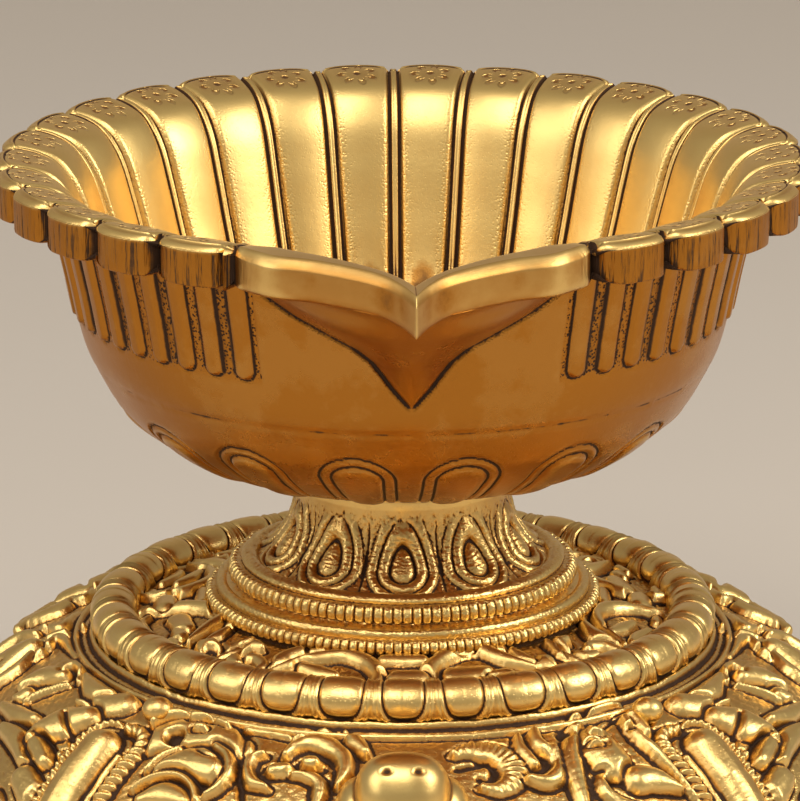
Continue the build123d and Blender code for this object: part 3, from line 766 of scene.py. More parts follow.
def model_bowl_underside(sizes, bowl, top):
    """Round underside of the bowl with its ring of engraved petals."""
    petals = 16
    petal_end = 8.2
    half_angle = 7.6
    azimuth = bowl_azimuths(sizes)
    curve = (WALL_FOOT, (42.6, 12.9), (39.9, 10.0), (36, 7.0), (30.9, 4.2), (24, 2.4))
    foot = ((17.4, 1.9), (16.7, 1.0), (16.3, 0), (6.0, 0))
    section = spline(profile(curve + foot, len(azimuth)), steps(9, 10, 12, 12, 11, 10, 4, 4, 3))
    run = run_along(section[:, 0])[:, None]
    radius = section[:, :1, 0]
    pitch = 360 / petals
    draw = np.random.default_rng(41)
    number = np.floor((azimuth + 360) / pitch).astype(int) % petals
    wide = draw.uniform(0.93, 1.05, petals)[number]
    shift = draw.uniform(-0.5, 0.5, petals)[number]
    place = azimuth % pitch - pitch / 2 + shift
    across = np.radians(place)[None, :] * radius
    above = np.clip(petal_end - run, 0, None)
    shape = np.hypot(across, above * 1.05) - np.radians(half_angle) * radius * wide
    fade = ease(30, 27, run)
    lines = (bump(shape, 0.28) + bump(shape + 1.75, 0.26)) * fade
    swell = 0.35 * ease(-1.5, -3.5, shape) * fade
    points = bowl_points(azimuth, sizes, bowl, raised(section, swell - 0.38 * lines))
    points[0] = top
    deep = np.clip(0.4 * recess(points, True, (3, 5), 0.5) + 0.8 * lines, -1, 1)
    # Painted shade: darker and more amber further in under the bowl; painted reflection: the underside is
    # nearly all amber for a brown table that it would mirror
    shade_below = ease(14, 30, run) + 0 * deep
    marks = {
        "recess": np.clip(deep + 0.25 * shade_below, -1, 1),
        "warm": 0.92 + 0.08 * shade_below,
        "stipple": np.full(deep.shape, 0.15),
    }
    return lay_sheet("bowl_underside", points, marks)


class LAMP_OT_bowl(bpy.types.Operator):
    """Model the bowl: lobed inside, rim, wall and underside"""

    bl_idname = "lamp.bowl"
    bl_label = "Bowl"

    def execute(self, context):
        sizes = context.scene.lamp_bowl
        bowl = bowl_frame()
        inside, points = model_bowl_inside(sizes, bowl)
        edge, points = model_bowl_edge(sizes, bowl, points[-1])
        wall, points = model_bowl_wall(sizes, bowl, points[-1])
        under = model_bowl_underside(sizes, bowl, points[-1])
        finishes = {inside: "lobes_brass", edge: "rim_brass", wall: "wall_brass", under: "wall_brass"}
        for piece, finish in finishes.items():
            finish_piece(piece, "bowl", ["bowl"], finish)
        return {"FINISHED"}


# Neck and collar, in millimetres
NECK_SEAT = 10.3
PETAL_MIDDLE = 4.7


def neck_foot():
    """Height at which the neck stands on the collar."""
    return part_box("collar")[0][2] / MM + NECK_SEAT


def model_neck(sizes):
    """Waisted neck with its ring of hanging lotus petals."""
    columns_per_petal = 64
    azimuth = all_round(sizes.petals * columns_per_petal)
    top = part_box("lotus_neck")[1][2] / MM
    foot = neck_foot()
    lip = ((5.05, top), (15.2, top), (15.9, top - 0.3), (15.9, top - 2.6))
    waist = ((16.0, top - 5.2), (16.4, top - 7.2), (17.3, top - 9.0), (18.8, top - 11.0), (20.5, top - 12.4))
    seat = ((21.5, foot + 0.5), (21.6, foot))
    plain = profile(lip + waist + seat, len(azimuth))
    section = spline(plain, steps(2, 2, 10, 14, 16, 18, 22, 18, 8, 2))
    run = run_along(section[:, 0])
    up = (run[-1] - run)[:, None]
    pitch = 360 / sizes.petals
    place = (azimuth + pitch / 2) % pitch - pitch / 2
    across = np.radians(place)[None, :] * section[..., 0]
    # A petal is a drop: round below its middle, drawn out and leaning in above it
    above = up - PETAL_MIDDLE
    rise = np.where(above > 0, above / 2.1, above)
    lean = 1 + 0.045 * np.clip(above, 0, None)
    shape = np.hypot(across * lean, rise)
    boss = 0.85 * half_round(shape, 1.75)
    band = 0.75 * half_round(shape - 2.85, 0.85)
    outer = 0.55 * half_round(shape - 4.6, 0.75)
    seam = 0.35 * bump((np.abs(place) - pitch / 2)[None, :] * 0.3, 0.18)
    height = np.maximum(np.maximum(boss, band), outer) - seam
    height = height * ease(0.3, 0.9, up) * ease(13.2, 10.0, up)
    draw = np.random.default_rng(17)
    grains = smooth(draw.normal(0, 1, height.shape), 1, True)
    height = height + 0.10 * grains * ease(0.3, 1.2, up) * ease(13.7, 13.2, up)
    points = on_axis(azimuth, raised(section, height))
    deep = recess(points, True, (5, 5), 0.5)
    marks = {
        "recess": deep,
        "warm": np.full(deep.shape, 0.30),
        "stipple": 0.35 * ease(1, 2, up) * ease(14, 13, up) + 0 * deep,
    }
    return lay_sheet("neck", points, marks)


def model_neck_tail():
    """Threaded tail of the neck, which goes down through the base."""
    columns = 72
    rows = 240
    thread_pitch = 1.5
    plain_radius = 5.9
    azimuth = all_round(columns)
    foot = neck_foot()
    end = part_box("lotus_neck")[0][2] / MM
    level = np.linspace(foot - 0.3, end + 0.6, rows)[:, None]
    wave = (level / thread_pitch - azimuth[None, :] / 360) % 1
    thread = 5.55 + 0.42 * np.abs(2 * wave - 1)
    fade = ease(foot - 8, foot - 9, level) * ease(end + 0.7, end + 1.8, level)
    radius = plain_radius * (1 - fade) + thread * fade
    radius = np.where(level < end + 1.2, np.minimum(radius, 5.4), radius)
    section = np.stack((radius, np.repeat(level, columns, axis=1)), axis=2)
    cap = profile(((4.9, end), (0, end)), columns)
    points = on_axis(azimuth, np.concatenate((section, cap)))
    return lay_sheet("neck_tail", points, {"recess": recess(points, True, (3, 2), 0.5)})


def ribbed_ring(name, plain, counts, ribs, span, depth, seed):
    """Turned section with a ring of uneven upright ribs on one stretch of it."""
    columns_per_rib = 10
    azimuth = all_round(ribs * columns_per_rib)
    places = steps(*counts)
    section = spline(profile(plain, len(azimuth)), places)
    draw = np.random.default_rng(seed)
    share = (np.arange(len(azimuth)) / columns_per_rib) % 1
    gap = np.minimum(share, 1 - share)
    cut = bump(gap, 0.11) * np.repeat(draw.uniform(0.6, 1.2, ribs), columns_per_rib)
    swell = np.repeat(draw.uniform(-0.08, 0.08, ribs), columns_per_rib) * (1 - bump(gap, 0.2))
    rounding = 0.22 * (1 - (2 * share - 1) ** 2)
    on = ease(span[0] - 0.3, span[0] + 0.3, places) * ease(span[1] + 0.3, span[1] - 0.3, places)
    grains = 0.05 * blur(draw.normal(0, 1, (len(places), len(azimuth))), 1, 1, True)
    height = on[:, None] * (swell + rounding - depth * cut)[None, :] + grains
    height[[0, -1]] = 0
    points = on_axis(azimuth, raised(section, height))
    deep = recess(points, True, (4, 3), 0.62)
    deep = np.clip(deep + 0.40 * on[:, None] * cut[None, :], -1, 1)
    return lay_sheet(name, points, {"recess": deep, "warm": np.full(deep.shape, 0.06)})


# Sections of the collar's two rings, as radius and height above its foot: a bead, the ribs, what lies below
COLLAR_BEAD = ((21.2, 10.5), (21.7, 11.3), (22.6, 11.7), (23.6, 11.4), (24.0, 10.9), (23.9, 10.45))
COLLAR_RIBS = ((24.6, 10.45), (25.3, 10.15), (25.7, 9.3), (25.6, 8.5), (25.1, 8.05))
COLLAR_STEP = ((25.3, 7.7), (26.2, 7.35))
LOWER_BEAD = ((26.2, 7.35), (26.8, 7.65), (27.5, 7.5), (27.8, 6.9), (27.7, 6.4), (27.75, 6.2))
LOWER_RIBS = ((28.4, 6.3), (28.9, 6.0), (29.2, 5.4), (29.1, 4.8), (28.7, 4.4))
COLLAR_FOOT = ((28.5, 3.8), (28.6, 1.5), (29.4, 0.1))


def model_collar():
    """Collar in two rings, each with its gadroons, and smooth beads above them."""
    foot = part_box("collar")[0][2] / MM
    upper = [(radius, foot + level) for radius, level in COLLAR_BEAD + COLLAR_RIBS + COLLAR_STEP]
    lower = [(radius, foot + level) for radius, level in LOWER_BEAD + LOWER_RIBS + COLLAR_FOOT]
    counts = (3, 4, 5, 4, 3, 4, 5, 7, 7, 4, 4, 4)
    first = ribbed_ring("collar_upper", upper, counts, ribs=112, span=(6.2, 9.8), depth=0.42, seed=11)
    counts = (3, 4, 4, 3, 3, 4, 5, 5, 5, 3, 2, 2, 2)
    second = ribbed_ring("collar_lower", lower, counts, ribs=138, span=(6.1, 9.8), depth=0.36, seed=12)
    return first, second


class LAMP_OT_neck(bpy.types.Operator):
    """Model the lotus neck and the gadrooned collar"""

    bl_idname = "lamp.neck"
    bl_label = "Neck and collar"

    def execute(self, context):
        neck = model_neck(context.scene.lamp_base)
        finish_piece(neck, "base", ["lotus_neck"], "cast_brass")
        finish_piece(model_neck_tail(), "base", ["lotus_neck"], "fixing_brass")
        for piece in model_collar():
            finish_piece(piece, "base", ["collar"], "cast_brass")
        return {"FINISHED"}


# Base, in millimetres
DOME_REACH = 35.0
BELLY_HEIGHT = 12.5
SKIN_INSET = 0.9
SEEN_INSET = -1.4
SHELL_WALL = 3.2
# Ornament starts at this radius of the dome, and is laid out at this one
ORNAMENT_TOP = 48.5
ORNAMENT_RADIUS = 62.0
# Ridges round the top of the dome, as radius and height
RIDGES = ((46.0, 2.1), (48.4, 1.7))
# Camera, in millimetres, and the picture plane that it gives, in pixels
CAMERA_EYE = (0.0, -912.0, 335.0)
CAMERA_AIM = (-0.4, 0.0, 75.0)
CAMERA_LENS = 289
SENSOR_WIDTH = 36
PICTURE_MIDDLE = (400, 400.5)
PICTURE_SCALE = 6422
# Millimetres that a pixel of the drawn ornament covers on the dome, at its ring boss and in the channel
DOME_PIXEL = 0.19
RING_PIXEL = 0.17
CHANNEL_PIXEL = 0.25


def dome_section(inset, places):
    """Section of the dome, as radius and height, at shares of its quarter ellipse."""
    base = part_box("base_shell")[1]
    outer = base[0] / MM - inset
    top = base[2] / MM - inset
    flat = outer + inset - DOME_REACH
    angle = np.radians(90 * places)
    radius = flat + (outer - flat) * np.sin(angle)
    return np.stack((radius, BELLY_HEIGHT + (top - BELLY_HEIGHT) * np.cos(angle)), axis=1)


def drawing_plane(points):
    """Where points fall on the picture plane that the ornament is drawn on."""
    eye = np.array(CAMERA_EYE)
    ahead = np.array(CAMERA_AIM) - eye
    ahead = ahead / np.linalg.norm(ahead)
    right = np.cross(ahead, (0, 0, 1))
    right = right / np.linalg.norm(right)
    above = np.cross(right, ahead)
    ray = points - eye
    scale = PICTURE_SCALE / (ray @ ahead)
    return PICTURE_MIDDLE[0] + scale * (ray @ right), PICTURE_MIDDLE[1] - scale * (ray @ above)


def crest(path, picture, sheet):
    """Places on a sheet, in millimetres, of a path drawn on the picture plane."""
    x, y = picture
    places = sheet.reshape(-1, sheet.shape[-1])
    return [places[np.argmin((x - across) ** 2 + (y - down) ** 2)] for across, down in path]


def follow(sheet, path, reach):
    """Points near a path: which ones, how far from it, how far along it, on which side, its length."""
    steps_per_key = 8
    keys = np.array(path, float)
    count = 1 if len(keys) == 2 else steps_per_key * (len(keys) - 1)
    line = spline(keys, np.linspace(0, len(keys) - 1, count + 1))
    near = np.all((sheet > line.min(0) - reach) & (sheet < line.max(0) + reach), axis=2)
    place = sheet[near][:, None, :]
    start = line[None, :-1]
    step = line[None, 1:] - start
    size = np.maximum(np.sum(step**2, axis=2), 1e-9)
    share = np.clip(np.sum((place - start) * step, axis=2) / size, 0, 1)
    off = place - start - share[..., None] * step
    gap = np.linalg.norm(off, axis=2)
    best = np.argmin(gap, axis=1)
    rows = np.arange(len(best))
    lengths = np.sqrt(size[0])
    run = np.concatenate(([0], np.cumsum(lengths)))[best] + share[rows, best] * lengths[best]
    side = np.sign(off[rows, best, 0] * step[0, best, 1] - off[rows, best, 1] * step[0, best, 0])
    return near, gap[rows, best], run, side, np.sum(lengths)


def stroke(field, sheet, path, widths, rise, moat=0.5, twist=0.0, lean=0.0, beads=0.0, foot=0.9, floor=0.25):
    """Raise a rounded band along a path, with a sunk outline, into a field of heights."""
    near, gap, run, side, whole = follow(sheet, path, max(widths) + moat)
    wide = np.interp(run / whole, np.linspace(0, 1, len(widths)), widths)
    form = np.clip(1 - (gap / np.maximum(wide, 1e-3)) ** 2, 0, 1) ** 0.6
    if twist:
        form = form * (0.68 + 0.32 * np.cos(2 * np.pi * (run / twist + lean * side * gap / wide)))
    if beads:
        form = form * (0.25 + 0.75 * np.abs(np.sin(np.pi * run / beads)))
    old = field[near]
    spare = ease(wide + 0.25 * moat, wide + moat, gap)
    low = np.maximum(floor, old - 1.0)
    sunk = np.where(gap < wide + moat, low + (old - low) * spare, old)
    field[near] = np.where(gap < wide, foot + (rise - foot) * form, sunk)


def groove(field, sheet, path, width, depth):
    """Cut a narrow line into a field of heights."""
    near, gap = follow(sheet, path, 3 * width)[:2]
    field[near] = np.maximum(field[near] - depth * bump(gap, width), 0)


def pit(field, sheet, place, size, depth):
    """Sink a round hole into a field of heights."""
    gap = np.linalg.norm(sheet - place, axis=2) / size
    field -= np.minimum(depth, field) * ease(1.15, 0.6, gap)


def carve(field, picture, sheet, strokes, grooves, pits, pixel=DOME_PIXEL, rise_share=1.0, **shape):
    """Ornament drawn on the picture plane, laid on a sheet."""
    for path, widths, rise in strokes:
        sizes = [pixel * wide for wide in widths]
        stroke(field, sheet, crest(path, picture, sheet), sizes, rise_share * rise, **shape)
    for path, wide, depth in grooves:
        groove(field, sheet, crest(path, picture, sheet), pixel * wide, depth)
    for place, size, depth in pits:
        pit(field, sheet, crest([place], picture, sheet)[0], pixel * size, depth)


# Ornament of the front face of the dome as it is seen from the front: each stroke is a path and half widths,
# in pixels of the picture plane, and a height in millimetres
# Head of a bird with its round eye, at the left
BIRD_HEAD = (
    (((150, 738), (172, 731), (200, 728), (232, 744)), (13, 21, 22, 15), 2.6),
    (((150, 721), (174, 712), (200, 712), (228, 725)), (3, 6, 6, 3), 2.9),
    (((143, 770), (158, 757), (178, 747)), (3, 5, 3), 2.7),
    (((148, 779), (167, 767), (190, 761), (213, 769)), (5, 12, 17, 13), 3.2),
    (((214, 744), (226, 754), (228, 770), (216, 786), (201, 796)), (4, 5, 5, 5, 3), 2.6),
    (((137, 799), (159, 791), (182, 799)), (6, 11, 8), 2.4),
    (((128, 789), (149, 777), (174, 774), (189, 783), (194, 800)), (2, 3, 3.5, 3.5, 3), 2.7),
    (((194, 717), (210, 717)), (5, 5), 3.3),
    (((196, 729), (204, 729)), (4.5, 4.5), 3.2),
)
# Ring boss and the bands that hook round it, left of the head
RING_BOSS = (
    (((241, 723), (270, 729), (300, 735)), (2.2, 2.2, 2.2), 2.0),
    (((264, 752), (251, 756), (245, 768), (250, 780), (265, 787)), (3, 6, 6.5, 6, 3), 2.6),
    (((272, 768), (284, 767)), (7, 7), 2.5),
    (((291, 773), (304, 773), (316, 779), (319, 792), (312, 808)), (3, 5.5, 6.5, 6.5, 5), 2.5),
    (
        ((284, 753), (294, 744), (310, 739), (328, 742), (341, 752), (345, 768), (338, 784)),
        (4, 7, 9, 9, 8, 7, 4),
        2.6,
    ),
    (((293, 736), (306, 729), (322, 726), (338, 730)), (2, 4, 4.5, 3), 2.3),
    (((345, 728), (354, 738), (366, 751)), (4, 9, 5), 2.7),
    (((305, 761), (315, 761)), (7.5, 7.5), 2.7),
)
# Folded leaf, right of the head
FOLDED_LEAF = (
    (((519, 733), (524, 746), (536, 761)), (4, 6, 5), 2.2),
    (((533, 727), (541, 742), (558, 753), (564, 767), (549, 780), (530, 777)), (5, 8, 9, 9, 8, 4), 2.8),
    (((579, 712), (574, 738), (575, 762), (583, 790), (590, 812)), (6, 8, 9, 8, 6), 2.4),
)
# Folded leaf with a bulb and a drop, at the right
BULB_LEAF = (
    (((598, 735), (606, 748), (616, 760)), (13, 18, 17), 3.1),
    (((596, 708), (612, 704), (632, 712), (648, 729)), (6, 11, 12, 6), 2.6),
    (((626, 716), (640, 735), (664, 755), (695, 789), (706, 803)), (5, 6, 6, 4, 3), 2.7),
    (((642, 777), (656, 778), (685, 790)), (13, 11, 3), 2.9),
    (((604, 772), (608, 787), (622, 801), (642, 808)), (4, 6, 7, 6), 2.3),
    (((593, 732), (601, 734)), (4, 4), 3.4),
    (((593, 745), (601, 746)), (3.5, 3.5), 3.4),
)
FRONT_STROKES = BIRD_HEAD + RING_BOSS + FOLDED_LEAF + BULB_LEAF
# Feathered curl, right of the head
FRONT_FEATHERS = (
    (
        ((455, 750), (474, 745), (498, 749), (514, 760), (515, 775), (500, 786), (484, 784)),
        (5, 10, 12, 12, 11, 8, 4),
        2.5,
    ),
)
# Engraved lines, each a path, a width and a depth, and round holes, each a place, a radius and a depth
FRONT_GROOVES = (
    (((197, 751), (207, 757), (216, 758)), 1.7, 1.0),
    (((239, 723), (244, 736), (240, 759), (239, 789), (238, 812)), 2.2, 1.3),
    (((334, 768), (329, 782)), 1.5, 0.9),
    (((457, 764), (472, 761), (486, 758), (495, 766), (490, 776), (481, 774)), 2.2, 1.6),
    (((543, 735), (552, 747), (557, 760)), 1.4, 0.7),
    (((598, 717), (606, 709), (619, 703)), 1.4, 0.8),
    (((604, 723), (614, 715), (629, 710)), 1.4, 0.8),
    (((603, 771), (609, 778), (620, 779)), 1.7, 1.0),
)
FRONT_PITS = (
    ((173, 735), 8.0, 2.2),
    ((567, 729), 7.5, 1.6),
    ((635, 726), 4.0, 1.8),
)
# Engraved ring round the boss: place, half sizes, width and depth
FRONT_RING = ((310, 761), (12, 8), 1.7, 1.4)
# Ornament beside a corner, on the face at the left, as it is seen from the front
FLANK_STROKES = (
    (((0, 640), (30, 620), (60, 602), (86, 592)), (5, 6, 6, 3), 2.6),
    (((8, 646), (34, 632), (60, 618)), (3, 4, 3), 2.2),
    (((0, 674), (18, 660), (40, 648)), (5, 8, 4), 2.5),
    (((46, 642), (56, 635), (68, 638), (75, 648)), (4, 6, 6, 3), 2.5),
    (((22, 682), (42, 672), (60, 672)), (9, 13, 8), 2.6),
    (((62, 668), (71, 663), (79, 667), (76, 676)), (3, 4, 4, 3), 2.7),
    (((0, 715), (28, 694), (66, 680)), (2, 3, 2), 2.3),
    (((2, 704), (22, 690)), (7, 8), 2.3),
    (((84, 672), (92, 684), (104, 690)), (5, 10, 8), 2.2),
    (((96, 702), (122, 699)), (13, 14), 2.7),
    (((74, 700), (84, 703), (82, 711)), (3, 4, 3), 2.6),
    (((2, 726), (14, 740), (20, 758)), (9, 10, 8), 2.6),
    (((0, 704), (14, 712), (30, 716)), (6, 9, 6), 2.4),
    (((84, 714), (60, 719), (34, 732)), (12, 18, 13), 3.0),
    (((32, 742), (40, 757)), (9, 9), 2.7),
    (((17, 777), (25, 793)), (12, 13), 2.7),
    (((56, 752), (50, 772)), (5, 6), 2.0),
)
FLANK_GROOVES = ((((64, 713), (67, 744)), 2.2, 1.4), (((30, 730), (44, 738), (53, 766)), 2.0, 1.2))


def ring_path(place, size):
    """Closed path round an oval."""
    angles = np.radians(np.arange(0, 361, 30))
    return [(place[0] + size[0] * math.cos(a), place[1] + size[1] * math.sin(a)) for a in angles]


def corner_motif(field, sheet, rope):
    """Tongue at a corner, half of it, with a rope or a row of beads beside it, along the shoulder."""
    if rope:
        twisted = ((1.6, 6.2), (4.6, 6.6), (6.3, 9.5), (6.4, 18), (6.6, 38))
        stroke(field, sheet, twisted, (1.0, 1.25, 1.3, 1.3, 1.3), 2.6, moat=0.7, twist=1.35, lean=0.45)
        stroke(field, sheet, ((4.2, 11), (4.35, 20), (4.5, 38)), (0.35, 0.4, 0.4), 2.3, moat=0.35)
    else:
        row = ((0.6, 5.9), (3.0, 6.6), (4.6, 9.5), (4.75, 18), (5.0, 38))
        stroke(field, sheet, row, (0.5, 0.55, 0.6, 0.6, 0.6), 2.1, moat=0.4, beads=1.15)
    stroke(field, sheet, ((0, 11.0), (0, 22), (0, 38)), (3.3, 3.6, 3.8), 3.7, moat=0.7)


def palmette(field, sheet):
    """Leaf in the middle of a face that has no head."""
    stroke(field, sheet, ((0, 7), (0, 14), (0, 22)), (2.2, 5.4, 4.0), 2.6, moat=0.7)
    for side in (1, -1):
        curl = ((side * 4.5, 20), (side * 8.0, 15), (side * 8.5, 9.5), (side * 5.5, 6.5))
        stroke(field, sheet, curl, (0.8, 1.6, 1.5, 0.9), 2.4, moat=0.6)
        groove(field, sheet, ((side * 1.6, 11), (side * 2.2, 19)), 0.3, 0.6)


def lower_border(field, sheet):
    """Round leaves along the lowest part of the shoulder."""
    leaf_pitch = 6.6
    for number in range(-7, 8):
        middle = number * leaf_pitch
        stroke(field, sheet, ((middle, 25.5), (middle, 33.0)), (2.9, 2.4), 2.2, moat=0.6)
        groove(field, sheet, ((middle, 25.0), (middle, 32.0)), 0.3, 0.6)


def carve_face(field, azimuth, section, seen, rope):
    """Drawn ornament of a face: the front's, or beside both of its corners the flank's."""
    drawn = azimuth if rope else np.abs(azimuth) - 90
    ground = on_axis(drawn, section)
    picture = drawing_plane(on_axis(drawn, seen))
    if not rope:
        carve(field, picture, ground, FLANK_STROKES, FLANK_GROOVES, ())
        return
    carve(field, picture, ground, FRONT_FEATHERS, (), (), twist=0.95)
    carve(field, picture, ground, FRONT_STROKES, FRONT_GROOVES, FRONT_PITS)
    place, size, wide, depth = FRONT_RING
    groove(field, ground, crest(ring_path(place, size), picture, ground), RING_PIXEL * wide, depth)


def model_dome_face(sizes, half, rope, leaf):
    """One face of the dome, from tongue to tongue, with its raised ornament."""
    azimuth = np.linspace(-half, half, sizes.dome_columns)
    places = np.linspace(0.165, 1.0, sizes.dome_rows)
    flat = dome_section(SKIN_INSET, places)
    section = profile(flat, len(azimuth))
    seen = profile(dome_section(SEEN_INSET, places), len(azimuth))
    run = run_along(flat)
    down = np.repeat((run - np.interp(ORNAMENT_TOP, flat[:, 0], run))[:, None], len(azimuth), axis=1)
    plan = np.stack((np.radians(azimuth)[None, :] * ORNAMENT_RADIUS + 0 * down, down), axis=2)
    field = np.full(down.shape, 1.0)
    lower_border(field, plan)
    carve_face(field, azimuth, section, seen, rope)
    if leaf:
        palmette(field, plan)
    across = np.radians(half - np.abs(azimuth))[None, :] * section[..., 0]
    corner_motif(field, np.stack((across, down), axis=2), rope)
    for radius, rise in RIDGES:
        off = (run - np.interp(radius, flat[:, 0], run))[:, None]
        calm = ease(0.3, 1.2, np.abs(off))
        field = np.maximum(0.3 + (field - 0.3) * calm, rise * half_round(off, 0.5))
    field = smooth(field, 1, False)
    draw = np.random.default_rng(5)
    grains = smooth(draw.normal(0, 1, field.shape), 1, False)
    waves = smooth(draw.normal(0, 1, field.shape), 8, False)
    bed = ease(1.5, 0.8, field)
    inner = ease(0, 1.5, half - np.abs(azimuth))[None, :]
    field = field + (0.14 * grains * bed + 0.8 * waves * (1 - bed)) * inner
    field = field * ease(1.0, 0.965, places)[:, None]
    points = on_axis(azimuth, raised(section, field))
    deep = np.clip(recess(points, False, (7, 4), 0.75) + 0.35 * ease(0.8, 0.3, field), -1, 1)
    return points, {"recess": deep, "warm": 0.08 + 0.25 * bed, "stipple": 0.35 * bed}


def turned(points, degrees):
    """Points turned about the axis of the lamp."""
    cosine = math.cos(math.radians(degrees))
    sine = math.sin(math.radians(degrees))
    x = points[..., 0]
    y = points[..., 1]
    return np.stack((cosine * x - sine * y, sine * x + cosine * y, points[..., 2]), axis=2)


# Ornament of the channel between the collar and the moulding, as it is seen from the front
# Two long scrolls and the boss between them
CHANNEL_SCROLLS = (
    (
        ((266, 673), (297, 661), (327, 655), (349, 654), (370, 661), (379, 673), (374, 684), (360, 689)),
        (2, 4, 4.5, 5, 6, 6, 5, 3),
        2.7,
    ),
    (((268, 669), (284, 657), (300, 651)), (2, 7, 5), 2.8),
    (((352, 684), (362, 684)), (4, 4), 2.0),
    (
        ((432, 688), (427, 673), (437, 659), (458, 650), (481, 648), (500, 656), (536, 669)),
        (4, 6, 6.5, 6, 6, 5, 2),
        2.8,
    ),
    (((456, 669), (484, 667)), (8, 7), 1.9),
    (((398, 676), (418, 676)), (8, 8), 2.6),
)
# Small leaves round the scrolls
CHANNEL_LEAVES = (
    (((384, 657), (402, 656), (422, 657)), (5, 6, 5), 2.2),
    (((302, 664), (318, 667), (334, 672)), (4, 6, 4), 2.1),
    (((286, 675), (302, 676), (322, 681)), (4, 5, 4), 2.0),
    (((312, 650), (330, 647), (350, 646)), (3, 4, 3), 2.2),
    (((440, 684), (452, 688), (470, 686)), (3, 4, 3), 2.0),
    (((444, 650), (452, 645), (470, 642)), (3, 4, 3), 2.2),
    (((494, 672), (508, 670), (518, 676)), (4, 6, 4), 2.1),
    (((490, 645), (502, 646), (514, 650)), (3, 4, 2), 2.1),
    (((236, 676), (250, 680), (268, 683)), (3, 5, 4), 2.0),
    (((190, 660), (204, 664), (220, 672)), (4, 6, 4), 2.2),
    (((186, 640), (194, 648), (198, 656)), (4, 5, 3), 2.3),
    (((190, 622), (200, 628), (204, 636)), (3, 5, 3), 2.3),
    (((590, 660), (604, 664), (616, 660)), (4, 6, 4), 2.2),
    (((560, 668), (574, 667), (586, 670)), (4, 6, 4), 2.0),
    (((600, 636), (612, 642), (622, 648)), (4, 6, 3), 2.4),
)
# Curls at the two sides
CHANNEL_CURLS = (
    (((240, 648), (252, 643), (262, 646)), (4, 7, 3), 2.6),
    (((244, 657), (256, 657), (263, 664), (254, 671)), (3, 5, 5, 3), 2.4),
    (((205, 649), (208, 640), (220, 635), (229, 640)), (4, 5, 5, 3), 2.6),
    (((214, 656), (226, 654), (238, 662)), (4, 8, 4), 2.4),
    (((541, 660), (549, 660)), (8, 8), 2.6),
    (((512, 648), (524, 655), (534, 660)), (3, 5, 2), 2.2),
    (((552, 640), (566, 646), (585, 655)), (6, 9, 4), 2.7),
    (((570, 636), (590, 642), (604, 652)), (3, 6, 4), 2.5),
    (((520, 676), (534, 673)), (4, 4), 2.2),
)
CHANNEL_STROKES = CHANNEL_SCROLLS + CHANNEL_LEAVES + CHANNEL_CURLS
CHANNEL_PITS = (((244, 665), 4, 1.8), ((211, 647), 4, 1.8), ((557, 660), 5, 1.6), ((384, 672), 4, 1.4))


def model_channel_face():
    """One quarter of the channel round the collar, filled with scrolls."""
    half = 45
    bed_height = 0.75
    azimuth = np.linspace(-half, half, 301)
    radius = np.linspace(28.4, 41.6, 76)
    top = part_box("collar")[0][2] / MM + np.interp(radius, (29.0, 41.0), (4.7, 2.4))
    floor = top - np.interp(radius, (28.4, 40.0, 41.6), (1.75, 1.75, 2.2))
    ground = on_axis(azimuth, profile(np.stack((radius, top), axis=1), len(azimuth)))
    picture = drawing_plane(ground)
    field = np.full(ground.shape[:2], bed_height)
    form = {"moat": 0.4, "floor": 0.1, "foot": 0.8}
    carve(field, picture, ground, CHANNEL_STROKES, (), CHANNEL_PITS, CHANNEL_PIXEL, 0.9, **form)
    field = smooth(field, 1, False)
    draw = np.random.default_rng(6)
    grains = smooth(draw.normal(0, 1, field.shape), 1, False)
    field = field + 0.16 * grains * ease(1.4, 0.6, field)
    field = bed_height + (field - bed_height) * ease(half, 43.5, np.abs(azimuth))[None, :]
    section = profile(np.stack((radius, floor), axis=1), len(azimuth))
    section[..., 1] += field
    points = on_axis(azimuth, section)
    deep = np.clip(recess(points, False, (4, 5), 0.6) + 0.3 * ease(0.6, 0.2, field), -1, 1)
    bed = ease(1.3, 0.6, field)
    return points, {"recess": deep, "warm": 0.10 + 0.3 * bed, "stipple": 0.4 * bed}


